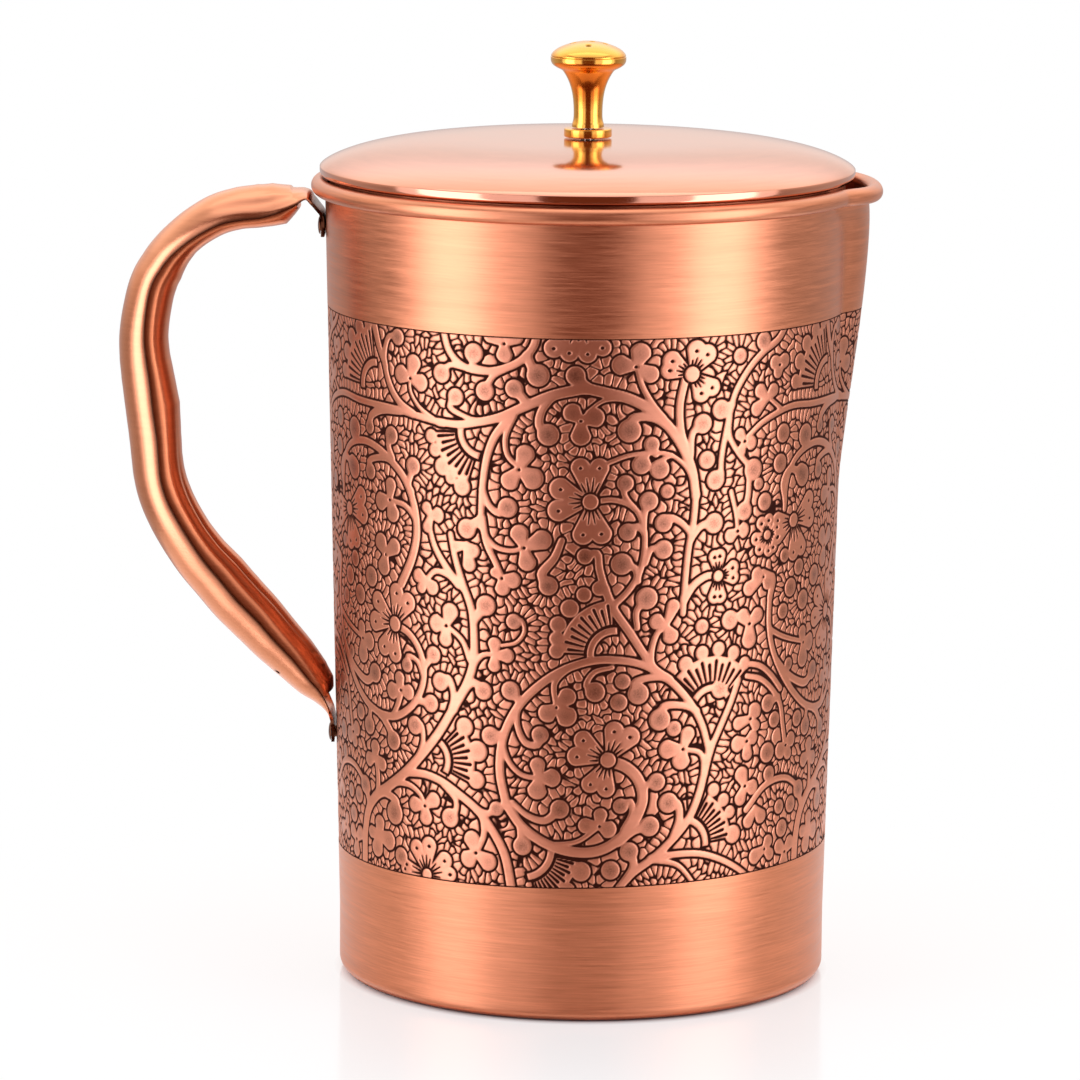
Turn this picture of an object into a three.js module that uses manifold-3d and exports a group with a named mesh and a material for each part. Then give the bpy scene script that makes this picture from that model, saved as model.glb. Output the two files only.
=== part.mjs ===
// A copper water jug: a spun sheet body with a wired rim and a pulled spout, a hollow handle made of
// two nested shells, and a push-fit lid with a turned brass knob.
// Lengths are millimetres and +Z is up. The origin is the centre of the flat bottom, the handle
// stands at -X and the spout at +X.
import * as THREE from 'three';
import { mergeVertices } from 'three/addons/utils/BufferGeometryUtils.js';
import Module from 'manifold-3d';

const wasm = await Module();
wasm.setup();

// Sheet and clearances
const sheet = 0.8;
const gap = 0.3;
const overrun = 3;
const weld = 1e-4 * sheet;

// Jug body
const base_radius = 60;
const mouth_radius = 64;
const body_height = 197;
const corner_radius = 3;
const straight_height = 16;
const wire_radius = 1.0;
const curl_end_angle = -115;

// Spout
const spout_depth = 5.4;
const spout_rim_depth = 4.7;
const spout_foot_height = 122;
const spout_low_angle = 12;
const spout_rim_angle = 21;

// Handle
const handle_foot_height = 57;
const handle_top_drop = 2.3;
const handle_seam_reach = 44.5;
const handle_half_width = 8.5;
const crown_depth = 7;
const inner_depth = 6;
const shell_lap = 0.9;
const vent_radius = 0.6;

// Rivets that hold the handle's tabs
const rivet_radius = 1.5;
const rivet_head_radius = 2.3;
const rivet_head_height = 0.6;
const lower_rivet_share = 0.012;
const upper_rivet_share = 0.942;

// Lid
const lid_edge_height = 2.3;
const lid_rise = 7;
const lid_hem = 2.0;
const collar_depth = 9;
const collar_taper = 0.5;

// Knob and its fixing
const knob_height = 21;
const knob_head_radius = 9.2;
const knob_stem_radius = 3.5;
const foot_ring_radius = 5.85;
const foot_ring_height = 2.1;
const screw_radius = 1.5;
const screw_reach = 9;
const screw_head_radius = 3.1;
const screw_head_height = 1.9;
const screw_slot_width = 0.8;
const screw_slot_depth = 0.9;

// Facets
const turn_steps = 52;
const spout_steps = 18;
const small_turn_steps = 20;

// Sizes and heights that follow from those above
const curl_radius = wire_radius + gap + sheet;
const curl_height = body_height - curl_radius;
const curl_centre = mouth_radius + wire_radius + gap;
const handle_top_height = curl_height - handle_top_drop;
const lid_radius = curl_centre;
const hem_bottom = body_height + gap;
const lid_edge = hem_bottom + lid_edge_height;
const lid_top = lid_edge + lid_rise;
const ring_bottom = lid_top + gap;
const knob_bottom = ring_bottom + foot_ring_height + gap;
const vent_depth = crown_depth + 2 * sheet;

const degrees = THREE.MathUtils.degToRad;
const point = (r, z) => new THREE.Vector2(r, z);
const clamp = THREE.MathUtils.clamp;

// Points of an arc about (r, z), angles in degrees, both ends included.
function arc(r, z, radius, from, to, steps) {
  const points = [];
  for (let i = 0; i <= steps; i += 1) {
    const angle = degrees(from + (to - from) * i / steps);
    points.push(point(r + radius * Math.cos(angle), z + radius * Math.sin(angle)));
  }
  return points;
}

// Welds a geometry's corners and drops the triangles that have shrunk to a line.
function welded(geometry) {
  const bare = geometry.clone();
  bare.deleteAttribute('normal');
  bare.deleteAttribute('uv');
  const merged = mergeVertices(bare, weld);
  const kept = [];
  const index = merged.index.array;
  for (let i = 0; i < index.length; i += 3) {
    const [a, b, c] = [index[i], index[i + 1], index[i + 2]];
    if (a !== b && b !== c && c !== a) kept.push(a, b, c);
  }
  merged.setIndex(kept);
  return merged;
}

function to_solid(geometry) {
  const merged = welded(geometry);
  return new wasm.Manifold(new wasm.Mesh({
    numProp: 3,
    vertProperties: new Float32Array(merged.attributes.position.array),
    triVerts: new Uint32Array(merged.index.array),
  }));
}

function to_geometry(solid) {
  const mesh = solid.getMesh();
  const geometry = new THREE.BufferGeometry();
  geometry.setAttribute('position', new THREE.BufferAttribute(mesh.vertProperties, 3));
  geometry.setIndex(new THREE.BufferAttribute(mesh.triVerts, 1));
  return geometry;
}

function cut(geometry, ...tools) {
  let solid = to_solid(geometry);
  for (const tool of tools) solid = solid.subtract(to_solid(tool));
  return to_geometry(solid);
}

// A solid of revolution about +Z from an outline that runs counterclockwise in (r, z).
function turned(outline, steps) {
  return new THREE.LatheGeometry(outline, steps).rotateX(Math.PI / 2);
}

// Outside radius of the wall at a height, away from the spout.
function wall_radius(z) {
  const share = clamp((z - straight_height) / (curl_height - straight_height), 0, 1);
  return base_radius + (mouth_radius - base_radius) * share;
}

// Exponents of the spout: its rise up the wall, its sudden widening at the rim and its round nose.
const spout_rise_share = 1.4;
const spout_rim_share = 14;
const spout_nose_share = 2;
const spout_edge_share = 1.2;

// How far the spout has grown at a height, from 0 at its foot to 1 at the rim.
function spout_rise(z) {
  const top = curl_height - curl_radius;
  return clamp((z - spout_foot_height) / (top - spout_foot_height), 0, 1);
}

// How far the spout pushes the wall out at a height and an angle from +X.
function spout_growth(z, angle) {
  const rise = spout_rise(z);
  const widening = rise ** spout_rim_share;
  const full = THREE.MathUtils.lerp(spout_depth, spout_rim_depth, widening);
  const depth = full * (1 - (1 - rise ** spout_rise_share) ** 2);
  const half = degrees(spout_low_angle + (spout_rim_angle - spout_low_angle) * widening);
  const across = clamp(Math.abs(angle) / half, 0, 1);
  return depth * (1 - across ** (spout_nose_share * (1 + widening / 2))) ** spout_edge_share;
}

// Angles round the jug, closer together across the spout.
function jug_angles() {
  const half = degrees(spout_rim_angle) * (1 + 1 / spout_steps);
  const angles = [];
  for (let i = 0; i < spout_steps; i += 1) angles.push(-half + 2 * half * i / spout_steps);
  for (let i = 0; i < turn_steps; i += 1) {
    angles.push(half + (2 * Math.PI - 2 * half) * i / turn_steps);
  }
  return angles;
}

// A solid swept round +Z like a turned one, but with the spout pushed out of it. An outline whose
// ends lie on the axis closes there; any other outline closes on itself.
function spouted(outline) {
  const angles = jug_angles();
  const on_axis = outline[0].x === 0;
  const rows = on_axis ? outline.slice(1, -1) : outline;
  const position = [];
  for (const { x: r, y: z } of rows) {
    for (const angle of angles) {
      const signed = angle > Math.PI ? angle - 2 * Math.PI : angle;
      const grown = r + spout_growth(z, signed);
      position.push(grown * Math.cos(angle), grown * Math.sin(angle), z);
    }
  }
  const count = angles.length;
  const index = [];
  const joined = on_axis ? rows.length - 1 : rows.length;
  for (let i = 0; i < joined; i += 1) {
    const above = (i + 1) % rows.length;
    for (let j = 0; j < count; j += 1) {
      const next = (j + 1) % count;
      const [a, b] = [i * count + j, i * count + next];
      const [c, d] = [above * count + next, above * count + j];
      index.push(a, b, c, a, c, d);
    }
  }
  if (on_axis) {
    const first = position.length / 3;
    position.push(0, 0, outline[0].y, 0, 0, outline.at(-1).y);
    const last_row = (rows.length - 1) * count;
    for (let j = 0; j < count; j += 1) {
      const next = (j + 1) % count;
      index.push(first, next, j, first + 1, last_row + j, last_row + next);
    }
  }
  const geometry = new THREE.BufferGeometry();
  geometry.setAttribute('position', new THREE.Float32BufferAttribute(position, 3));
  geometry.setIndex(index);
  return geometry;
}

// The sheet body: flat bottom, rounded corner, flared wall and the rim curled over its wire.
function body_outline() {
  const height_shares = [0.59, 0.66, 0.73, 0.8, 0.86, 0.915, 0.955, 0.98];
  const wall_heights = height_shares.map((s) => straight_height + s * (curl_height - straight_height));
  const channel = wire_radius + gap;
  const corner = base_radius - corner_radius;
  const outside = wall_heights.map((z) => point(wall_radius(z), z));
  const inside = wall_heights.map((z) => point(wall_radius(z) - sheet, z)).reverse();
  return [
    point(0, 0),
    ...arc(corner, corner_radius, corner_radius, -90, 0, 5),
    point(base_radius, straight_height),
    ...outside,
    ...arc(curl_centre, curl_height, channel, 180, curl_end_angle, 7),
    ...arc(curl_centre, curl_height, curl_radius, curl_end_angle, 180, 9),
    ...inside,
    point(base_radius - sheet, straight_height),
    ...arc(corner, corner_radius, corner_radius - sheet, 0, -90, 4),
    point(0, sheet),
  ];
}

function wire_outline() {
  return arc(curl_centre, curl_height, wire_radius, 0, 360, 6).slice(0, -1);
}

// A straight round bar along X whose middle is at (x, 0, z).
function cross_bar(radius, length, x, z) {
  const bar = new THREE.CylinderGeometry(radius, radius, length, small_turn_steps);
  return bar.rotateZ(Math.PI / 2).translate(x, 0, z);
}

// A height on the handle, as a share of the way from its foot to its top.
function handle_height(share) {
  return THREE.MathUtils.lerp(handle_foot_height, handle_top_height, share);
}

// Where a tab's sheet lies on the wall, to the middle of the sheet.
function tab_radius(z) {
  return wall_radius(z) + gap + sheet / 2;
}

// Stations of the handle from its upper tab round to its lower one. Each gives the seam between the
// shells as shares of the seam's reach and of the handle's height, then the depth of the outer
// shell, the depth of the inner shell and the half width as shares of their sizes.
const upper_tab_shares = [
  [0.925, 0.12, 0.7],
  [0.962, 0.12, 0.76],
];
const bend_shares = [
  [0.044, 0.976, 0.12, 0, 0.8],
  [0.072, 0.987, 0.12, 0, 0.86],
];
const shell_shares = [
  [0.100, 0.994, 0.18, 0.03, 0.9],
  [0.154, 0.983, 0.6, 0.16, 0.95],
  [0.243, 0.970, 0.9, 0.55, 1],
  [0.341, 0.960, 1.02, 0.43, 1],
  [0.461, 0.955, 1, 0.4, 1],
  [0.571, 0.947, 0.94, 0.44, 1],
  [0.682, 0.929, 0.88, 0.47, 1],
  [0.765, 0.911, 0.82, 0.53, 1],
  [0.849, 0.887, 0.77, 0.71, 1],
  [0.906, 0.863, 0.76, 0.84, 1],
  [0.953, 0.836, 0.77, 0.89, 1],
  [0.986, 0.788, 0.84, 0.85, 1],
  [0.999, 0.738, 0.92, 0.8, 1],
  [0.990, 0.701, 0.99, 0.78, 1],
  [0.976, 0.665, 1.03, 0.82, 1],
  [0.962, 0.611, 1.01, 0.93, 1],
  [0.942, 0.556, 1.03, 0.8, 1],
  [0.936, 0.520, 1.01, 0.78, 1],
  [0.927, 0.482, 0.99, 0.83, 1],
  [0.896, 0.446, 1.02, 0.84, 1],
  [0.842, 0.410, 1.07, 0.8, 1],
  [0.778, 0.374, 1.09, 0.79, 1],
  [0.704, 0.337, 1.09, 0.86, 1],
  [0.615, 0.301, 1.09, 0.95, 1],
  [0.525, 0.264, 1.08, 0.98, 1],
  [0.417, 0.227, 1.07, 0.92, 1],
  [0.325, 0.191, 0.99, 0.88, 0.99],
  [0.226, 0.155, 0.89, 0.81, 0.97],
  [0.136, 0.117, 0.71, 0.73, 0.94],
  [0.085, 0.097, 0.59, 0.57, 0.9],
  [0.048, 0.075, 0.36, 0.18, 0.84],
];
const foot_shares = [
  [0.026, 0.050, 0.14, 0, 0.78],
];
const lower_tab_shares = [
  [0.032, 0.12, 0.74],
  [0.000, 0.12, 0.68],
];

// Turns the share tables into stations {x, z, crown, inner, half} in millimetres.
function handle_stations() {
  const free = ([reach, rise, crown, inner, half]) => ({
    x: -(wall_radius(handle_height(rise)) + reach * handle_seam_reach),
    z: handle_height(rise),
    crown: crown * crown_depth,
    inner: inner * inner_depth,
    half: half * handle_half_width,
  });
  const tab = ([rise, crown, half]) => ({
    x: -tab_radius(handle_height(rise)),
    z: handle_height(rise),
    crown: crown * sheet,
    inner: 0,
    half: half * handle_half_width,
  });
  return {
    outer: [
      ...upper_tab_shares.map(tab),
      ...bend_shares.map(free).map((s) => ({ ...s, crown: s.crown / crown_depth * sheet })),
      ...shell_shares.map(free),
      ...foot_shares.map(free).map((s) => ({ ...s, crown: s.crown / crown_depth * sheet })),
      ...lower_tab_shares.map(tab),
    ],
    shells: shell_shares.map(free),
  };
}

// Interpolates stations along a smooth seam and gives each a unit normal out of the handle.
function along(stations, steps_each) {
  const seam = new THREE.CatmullRomCurve3(stations.map((s) => new THREE.Vector3(s.x, 0, s.z)));
  const last = stations.length - 1;
  const count = last * steps_each;
  const frames = [];
  for (let i = 0; i <= count; i += 1) {
    const at = i / steps_each;
    const low = Math.min(Math.floor(at), last - 1);
    const mix = (name) => THREE.MathUtils.lerp(stations[low][name], stations[low + 1][name], at - low);
    const place = seam.getPoint(i / count);
    const heading = seam.getTangent(i / count);
    frames.push({
      place,
      normal: new THREE.Vector3(heading.z, 0, -heading.x),
      crown: mix('crown'),
      inner: mix('inner'),
      half: mix('half'),
    });
  }
  return frames;
}

// Gives a thickness to an open line of a section and returns its closed loop of [across, out].
function thicken(line) {
  const left = [];
  const right = [];
  line.forEach(([y, d], i) => {
    const [y0, d0] = line[Math.max(i - 1, 0)];
    const [y1, d1] = line[Math.min(i + 1, line.length - 1)];
    const length = Math.hypot(y1 - y0, d1 - d0);
    const [ny, nd] = [-(d1 - d0) / length, (y1 - y0) / length];
    left.push([y + ny * sheet / 2, d + nd * sheet / 2]);
    right.push([y - ny * sheet / 2, d - nd * sheet / 2]);
  });
  return [...left, ...right.reverse()];
}

// Lofts a sheet channel along the frames; section(frame) is the open line of its middle surface.
function loft(frames, section) {
  const loops = frames.map((frame) => thicken(section(frame)));
  const size = loops[0].length;
  const position = [];
  loops.forEach((loop, i) => {
    const { place, normal } = frames[i];
    for (const [y, d] of loop) position.push(place.x + normal.x * d, y, place.z + normal.z * d);
  });
  const index = [];
  for (let i = 0; i < loops.length - 1; i += 1) {
    for (let j = 0; j < size; j += 1) {
      const next = (j + 1) % size;
      const [a, b] = [i * size + j, i * size + next];
      const [c, d] = [(i + 1) * size + next, (i + 1) * size + j];
      index.push(a, b, c, a, c, d);
    }
  }
  const end = (loops.length - 1) * size;
  for (let j = 0; j < size / 2 - 1; j += 1) {
    const [a, b, c, d] = [j, j + 1, size - 2 - j, size - 1 - j];
    index.push(a, c, b, a, d, c);
    index.push(end + a, end + b, end + c, end + a, end + c, end + d);
  }
  const geometry = new THREE.BufferGeometry();
  geometry.setAttribute('position', new THREE.Float32BufferAttribute(position, 3));
  geometry.setIndex(index);
  return geometry;
}

const section_angles = [0, 6, 16, 32, 58, 90, 122, 148, 164, 174, 180];
const vent_offset_share = 0.33;
const section_share = 0.75;

function outer_section({ crown, half }) {
  return section_angles.map((angle) => [
    -half * Math.cos(degrees(angle)),
    crown * Math.max(Math.sin(degrees(angle)), 0) ** section_share,
  ]);
}

function inner_section({ inner, half }) {
  const tucked = half - sheet - gap;
  const line = section_angles.map((angle) => [
    -tucked * Math.cos(degrees(angle)),
    -inner * Math.max(Math.sin(degrees(angle)), 0) ** section_share,
  ]);
  return [[-tucked, shell_lap], ...line, [tucked, shell_lap]];
}

function handle_outer_shell() {
  const frames = along(handle_stations().outer, 1);
  const shell = loft(frames, outer_section);
  const stations = handle_stations().shells;
  const vent = stations.at(-4);
  const bore = new THREE.CylinderGeometry(vent_radius, vent_radius, 2 * vent_depth, small_turn_steps / 2);
  bore.rotateX(Math.PI / 2).rotateY(Math.PI / 4);
  const reach = vent_depth * Math.SQRT1_2;
  bore.translate(vent.x - reach, -vent_offset_share * handle_half_width, vent.z - reach);
  return cut(shell, bore, ...[upper_rivet_share, lower_rivet_share].map(rivet_hole));
}

function handle_inner_shell() {
  const stations = handle_stations().shells.slice(1, -1);
  return loft(along(stations, 1), inner_section);
}

function rivet_hole(share) {
  const z = handle_height(share);
  return cross_bar(rivet_radius + gap, 2 * overrun, -wall_radius(z), z);
}

const rivet_face_share = 0.7;

// A rivet through a tab and the wall, headed at both ends, along -X.
function rivet(share) {
  const z = handle_height(share);
  const inside = wall_radius(z) - sheet - gap;
  const outside = tab_radius(z) + sheet / 2 + gap;
  const outline = [
    point(0, inside - rivet_head_height),
    point(rivet_head_radius * rivet_face_share, inside - rivet_head_height),
    point(rivet_head_radius, inside - rivet_head_height / 2),
    point(rivet_head_radius, inside),
    point(rivet_radius, inside),
    point(rivet_radius, outside),
    point(rivet_head_radius, outside),
    point(rivet_head_radius, outside + rivet_head_height / 2),
    point(rivet_head_radius * rivet_face_share, outside + rivet_head_height),
    point(0, outside + rivet_head_height),
  ];
  return turned(outline, small_turn_steps).rotateY(-Math.PI / 2).translate(0, 0, z);
}

// Exponents of the dome: how flat its top is, and how round its shoulder.
const dome_flat_share = 4.3;
const dome_shoulder_share = 0.75;

// Height of the lid's top surface at a radius.
function lid_surface(r) {
  const inward = Math.max(1 - (r / lid_radius) ** dome_flat_share, 0);
  return lid_edge + lid_rise * inward ** dome_shoulder_share;
}

// The spun cover: a flat-topped dome whose edge turns under in a hem.
function cover_outline() {
  const hole = screw_radius + gap;
  const radius_shares = [0.3, 0.5, 0.64, 0.75, 0.84, 0.91, 0.96, 0.988];
  const radii = radius_shares.map((s) => s * lid_radius);
  const top = radii.map((r) => point(r, lid_surface(r))).reverse();
  const under_shares = radius_shares.slice(0, -1);
  const under = under_shares.map((s) => point(s * (lid_radius - sheet), lid_surface(s * lid_radius) - sheet));
  return [
    point(hole, lid_surface(hole) - sheet),
    ...under,
    point(lid_radius - sheet, lid_edge),
    point(lid_radius - sheet, hem_bottom + sheet),
    point(lid_radius - lid_hem, hem_bottom + sheet),
    point(lid_radius - lid_hem, hem_bottom),
    point(lid_radius - sheet / 2, hem_bottom),
    point(lid_radius, hem_bottom + sheet / 2),
    point(lid_radius, lid_edge),
    ...top,
    point(hole, lid_surface(hole)),
    point(hole, lid_surface(hole) - sheet),
  ];
}

// The push-fit ring under the cover, tapered so that it finds the mouth; the hem rests on the rim.
function collar_outline() {
  const outer = mouth_radius - sheet - gap;
  const top = lid_surface(outer) - sheet - 2 * gap;
  const bottom = body_height - collar_depth;
  return [
    point(outer - sheet - collar_taper, bottom),
    point(outer - collar_taper, bottom),
    point(outer, curl_height),
    point(outer, top - sheet / 2),
    point(outer - sheet, top),
    point(outer - sheet, curl_height),
    point(outer - sheet - collar_taper, bottom),
  ];
}

// The knob's profile as shares of its height, and of the radius of its stem or of its head.
const stem_shares = [
  [0, 1.13],
  [0.035, 1.11],
  [0.07, 1.04],
  [0.14, 1],
  [0.21, 1],
  [0.28, 1.03],
  [0.38, 1.1],
  [0.45, 1.2],
  [0.52, 1.34],
  [0.59, 1.54],
  [0.66, 1.83],
];
const head_shares = [
  [0.695, 0.85],
  [0.73, 0.95],
  [0.765, 0.995],
  [0.8, 1],
  [0.835, 0.99],
  [0.87, 0.93],
  [0.905, 0.82],
  [0.94, 0.66],
  [0.975, 0.43],
];

// The knob, bored from below for its screw: stem, flared neck, banded head and low dome.
function knob_outline() {
  const bore = screw_radius + gap;
  const place = (radius) => ([rise, out]) => point(out * radius, knob_bottom + rise * knob_height);
  return [
    point(0, knob_bottom + screw_reach + gap),
    point(bore, knob_bottom + screw_reach + gap),
    point(bore, knob_bottom),
    ...stem_shares.map(place(knob_stem_radius)),
    ...head_shares.map(place(knob_head_radius)),
    point(0, knob_bottom + knob_height),
  ];
}

const ring_bevel_share = 0.16;

function foot_ring_outline() {
  const bore = screw_radius + gap;
  const bevel = ring_bevel_share * foot_ring_height;
  const top = ring_bottom + foot_ring_height;
  return [
    point(bore, ring_bottom),
    point(foot_ring_radius, ring_bottom),
    point(foot_ring_radius, top - bevel),
    point(foot_ring_radius - bevel, top),
    point(bore, top),
    point(bore, ring_bottom),
  ];
}

const screw_face_share = 0.75;

// The slotted screw that comes up through the cover and the foot ring into the knob.
function knob_screw() {
  const seat = lid_surface(screw_head_radius) - sheet - gap;
  const low = seat - screw_head_height;
  const outline = [
    point(0, low),
    point(screw_head_radius * screw_face_share, low),
    point(screw_head_radius, low + screw_head_height * (1 - screw_face_share)),
    point(screw_head_radius, seat),
    point(screw_radius, seat),
    point(screw_radius, knob_bottom + screw_reach),
    point(0, knob_bottom + screw_reach),
  ];
  const slot_length = 2 * (screw_head_radius + overrun);
  const slot = new THREE.BoxGeometry(slot_length, screw_slot_width, 2 * screw_slot_depth);
  return cut(turned(outline, small_turn_steps), slot.translate(0, 0, low));
}

function copper(color, roughness) {
  return new THREE.MeshStandardMaterial({ color, roughness, metalness: 1 });
}

const wall_copper = copper(0xc77f60, 0.34);
const antique_copper = copper(0xa8664a, 0.42);
const lid_copper = copper(0xd9967a, 0.22);
const handle_copper = copper(0xc87a55, 0.3);
const brass = new THREE.MeshStandardMaterial({ color: 0xd9a63a, roughness: 0.14, metalness: 1 });
const steel = new THREE.MeshStandardMaterial({ color: 0x9a9c9f, roughness: 0.35, metalness: 1 });

const jug = new THREE.Group();

function add(name, geometry, material) {
  const mesh = new THREE.Mesh(welded(geometry), material);
  mesh.name = name;
  mesh.geometry.computeVertexNormals();
  jug.add(mesh);
}

const rivet_holes = [upper_rivet_share, lower_rivet_share].map(rivet_hole);
add('jug_body', cut(spouted(body_outline()), ...rivet_holes), wall_copper);
add('rim_wire', spouted(wire_outline()), steel);
add('handle_outer_shell', handle_outer_shell(), handle_copper);
add('handle_inner_shell', handle_inner_shell(), antique_copper);
add('handle_upper_rivet', rivet(upper_rivet_share), handle_copper);
add('handle_lower_rivet', rivet(lower_rivet_share), handle_copper);
add('lid_cover', turned(cover_outline(), turn_steps), lid_copper);
add('lid_collar', turned(collar_outline(), turn_steps), wall_copper);
add('knob', turned(knob_outline(), small_turn_steps + 4), brass);
add('knob_foot_ring', turned(foot_ring_outline(), small_turn_steps + 4), brass);
add('knob_screw', knob_screw(), steel);

export default jug;
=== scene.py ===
"""A copper water jug with an engraved floral band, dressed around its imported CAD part.

Lengths are metres and +Z is up. The jug stands on z = 0, with its handle at -X and its spout at +X.
"""
import math

import bpy
import numpy as np
from mathutils import Matrix


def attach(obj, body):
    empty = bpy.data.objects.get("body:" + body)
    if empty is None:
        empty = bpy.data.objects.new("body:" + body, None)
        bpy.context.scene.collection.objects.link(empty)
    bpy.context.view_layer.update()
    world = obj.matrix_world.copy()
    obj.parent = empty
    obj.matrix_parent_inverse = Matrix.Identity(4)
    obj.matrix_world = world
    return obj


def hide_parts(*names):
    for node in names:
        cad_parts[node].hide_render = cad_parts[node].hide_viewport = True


bl_info = {
    "name": "Copper water jug",
    "version": (1, 0, 0),
    "blender": (4, 5, 0),
    "location": "View3D > Sidebar > Copper jug",
    "description": "Dresses the jug's frame with its wall, handle, lid, knob and finishes",
    "category": "Add Mesh",
}

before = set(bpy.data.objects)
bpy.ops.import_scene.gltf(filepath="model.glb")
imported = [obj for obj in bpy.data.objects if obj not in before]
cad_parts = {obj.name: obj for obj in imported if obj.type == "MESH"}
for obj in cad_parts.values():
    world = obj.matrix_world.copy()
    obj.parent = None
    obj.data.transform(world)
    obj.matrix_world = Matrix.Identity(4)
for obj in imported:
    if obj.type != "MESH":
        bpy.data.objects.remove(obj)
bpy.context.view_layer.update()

TURN = 2 * math.pi
MILLI = 0.001


def length(name, description, default):
    """A property for a length in metres."""
    return bpy.props.FloatProperty(
        name=name, description=description, default=default, subtype="DISTANCE", unit="LENGTH",
        precision=5)


def angle(name, description, degrees):
    """A property for an angle, given in degrees."""
    return bpy.props.FloatProperty(
        name=name, description=description, default=math.radians(degrees), subtype="ANGLE",
        unit="ROTATION")


def colour(name, description, default):
    """A property for a linear colour."""
    return bpy.props.FloatVectorProperty(
        name=name, description=description, default=(*default, 1), size=4, min=0, max=1,
        subtype="COLOR")


def brightness(name, description, default):
    """A property for the brightness of a lamp's face."""
    return bpy.props.FloatProperty(name=name, description=description, default=default, min=0)


class JugWall(bpy.types.PropertyGroup):
    """The sheet body, its corner and its curled rim."""

    sheet: length("Sheet", "Thickness of the copper sheet", 0.0008)
    gap: length("Gap", "Clearance between pieces that touch", 0.0003)
    base_radius: length("Base radius", "Outside radius at the foot", 0.060)
    mouth_radius: length("Mouth radius", "Outside radius under the rim", 0.064)
    height: length("Height", "Height of the rim's top", 0.197)
    corner: length("Corner radius", "Radius of the corner at the foot", 0.003)
    straight: length("Straight foot", "Height where the wall starts to flare", 0.016)
    wire: length("Wire radius", "Radius of the wire in the rim", 0.001)


class JugSpout(bpy.types.PropertyGroup):
    """The spout pulled out of the wall."""

    depth: length("Depth", "How far the wall is pulled out", 0.0054)
    rim_depth: length("Depth at the rim", "How far the rim is pulled out", 0.0047)
    foot: length("Foot", "Height where the spout starts", 0.122)
    low_half: angle("Half angle", "Half of its width on the wall", 12)
    rim_half: angle("Half angle at the rim", "Half of its width at the rim", 21)
    dip: length("Lip dip", "How far the lip sinks at its middle", 0.0005)


class JugHandle(bpy.types.PropertyGroup):
    """The hollow handle, of an outer and an inner shell, and its rivets."""

    foot: length("Foot", "Height of the lower tab's end", 0.057)
    top_drop: length("Top drop", "How far the upper tab ends under the rim's middle", 0.0023)
    reach: length("Reach", "From the wall to the seam between the shells", 0.0445)
    half_width: length("Half width", "Half of the outer shell's width", 0.0085)
    crown: length("Crown", "Depth of the outer shell", 0.007)
    inner: length("Inner depth", "Depth of the inner shell", 0.006)
    lap: length("Lap", "How far the inner shell reaches into the outer one", 0.0009)
    vent: length("Vent radius", "Radius of the vent near the foot", 0.0006)
    vent_aside: length("Vent place", "How far the vent stands beside the middle", 0.0042)
    rivet_head: length("Rivet head", "Radius of the rivets' heads", 0.0023)
    rivet_rise: length("Rivet head height", "Height of the rivets' heads", 0.0006)
    rivet_shank: length("Rivet shank", "Radius of the rivets' shanks", 0.0015)


class JugLid(bpy.types.PropertyGroup):
    """The domed cover and the ring under it."""

    edge: length("Edge height", "Height of the lid's upright edge", 0.0023)
    rise: length("Rise", "Height of the dome above its edge", 0.007)
    hem: length("Hem", "Width of the hem turned under the edge", 0.002)
    lip: length("Lip radius", "Outside radius of the bend into the hem", 0.0013)
    collar_depth: length("Collar depth", "How far the collar reaches into the mouth", 0.009)
    collar_taper: length("Collar taper", "How far the collar draws in", 0.0005)


class JugKnob(bpy.types.PropertyGroup):
    """The turned knob and its foot ring."""

    ring_radius: length("Ring radius", "Radius of the foot ring", 0.00585)
    ring_height: length("Ring height", "Height of the foot ring", 0.0021)
    bore: length("Bore", "Radius of the screw's bore", 0.0018)
    dimple: length("Dimple", "Radius of the dimples in the top", 0.0008)
    dimple_depth: length("Dimple depth", "Depth of the dimples in the top", 0.0008)


class JugBand(bpy.types.PropertyGroup):
    """The engraved band round the wall."""

    low: length("Lower edge", "Mean height of the lower edge", 0.033)
    tilt: length("Tilt", "How far the lower edge rises towards the spout", 0.00116)
    high: length("Upper edge", "Height of the upper edge", 0.16587)
    inlay: length("Inlay", "Depth of the engraved layer", 0.00045)
    depth: length("Groove depth", "Depth of the engraved lines", 0.00022)


class JugColours(bpy.types.PropertyGroup):
    """The finishes' colours."""

    copper: colour("Copper", "Brushed copper of the wall", (0.67, 0.245, 0.12))
    band: colour("Antique copper", "Raised parts of the engraved band", (0.66, 0.255, 0.145))
    lid: colour("Lid copper", "Polished copper of the lid", (0.66, 0.28, 0.17))
    handle: colour("Handle copper", "Outer shell of the handle", (0.66, 0.26, 0.13))
    inner: colour("Inner shell copper", "Inner shell of the handle", (0.68, 0.215, 0.09))
    # Also the colour that the painted shade on the handle, its tabs and the knob's dimples darkens
    # towards.
    dark: colour("Patina", "Dark patina in the cuts", (0.022, 0.003, 0.0004))
    brass: colour("Brass", "Polished brass of the knob", (0.80, 0.405, 0.075))
    steel: colour("Steel", "Wire and screw", (0.5, 0.5, 0.51))


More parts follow.
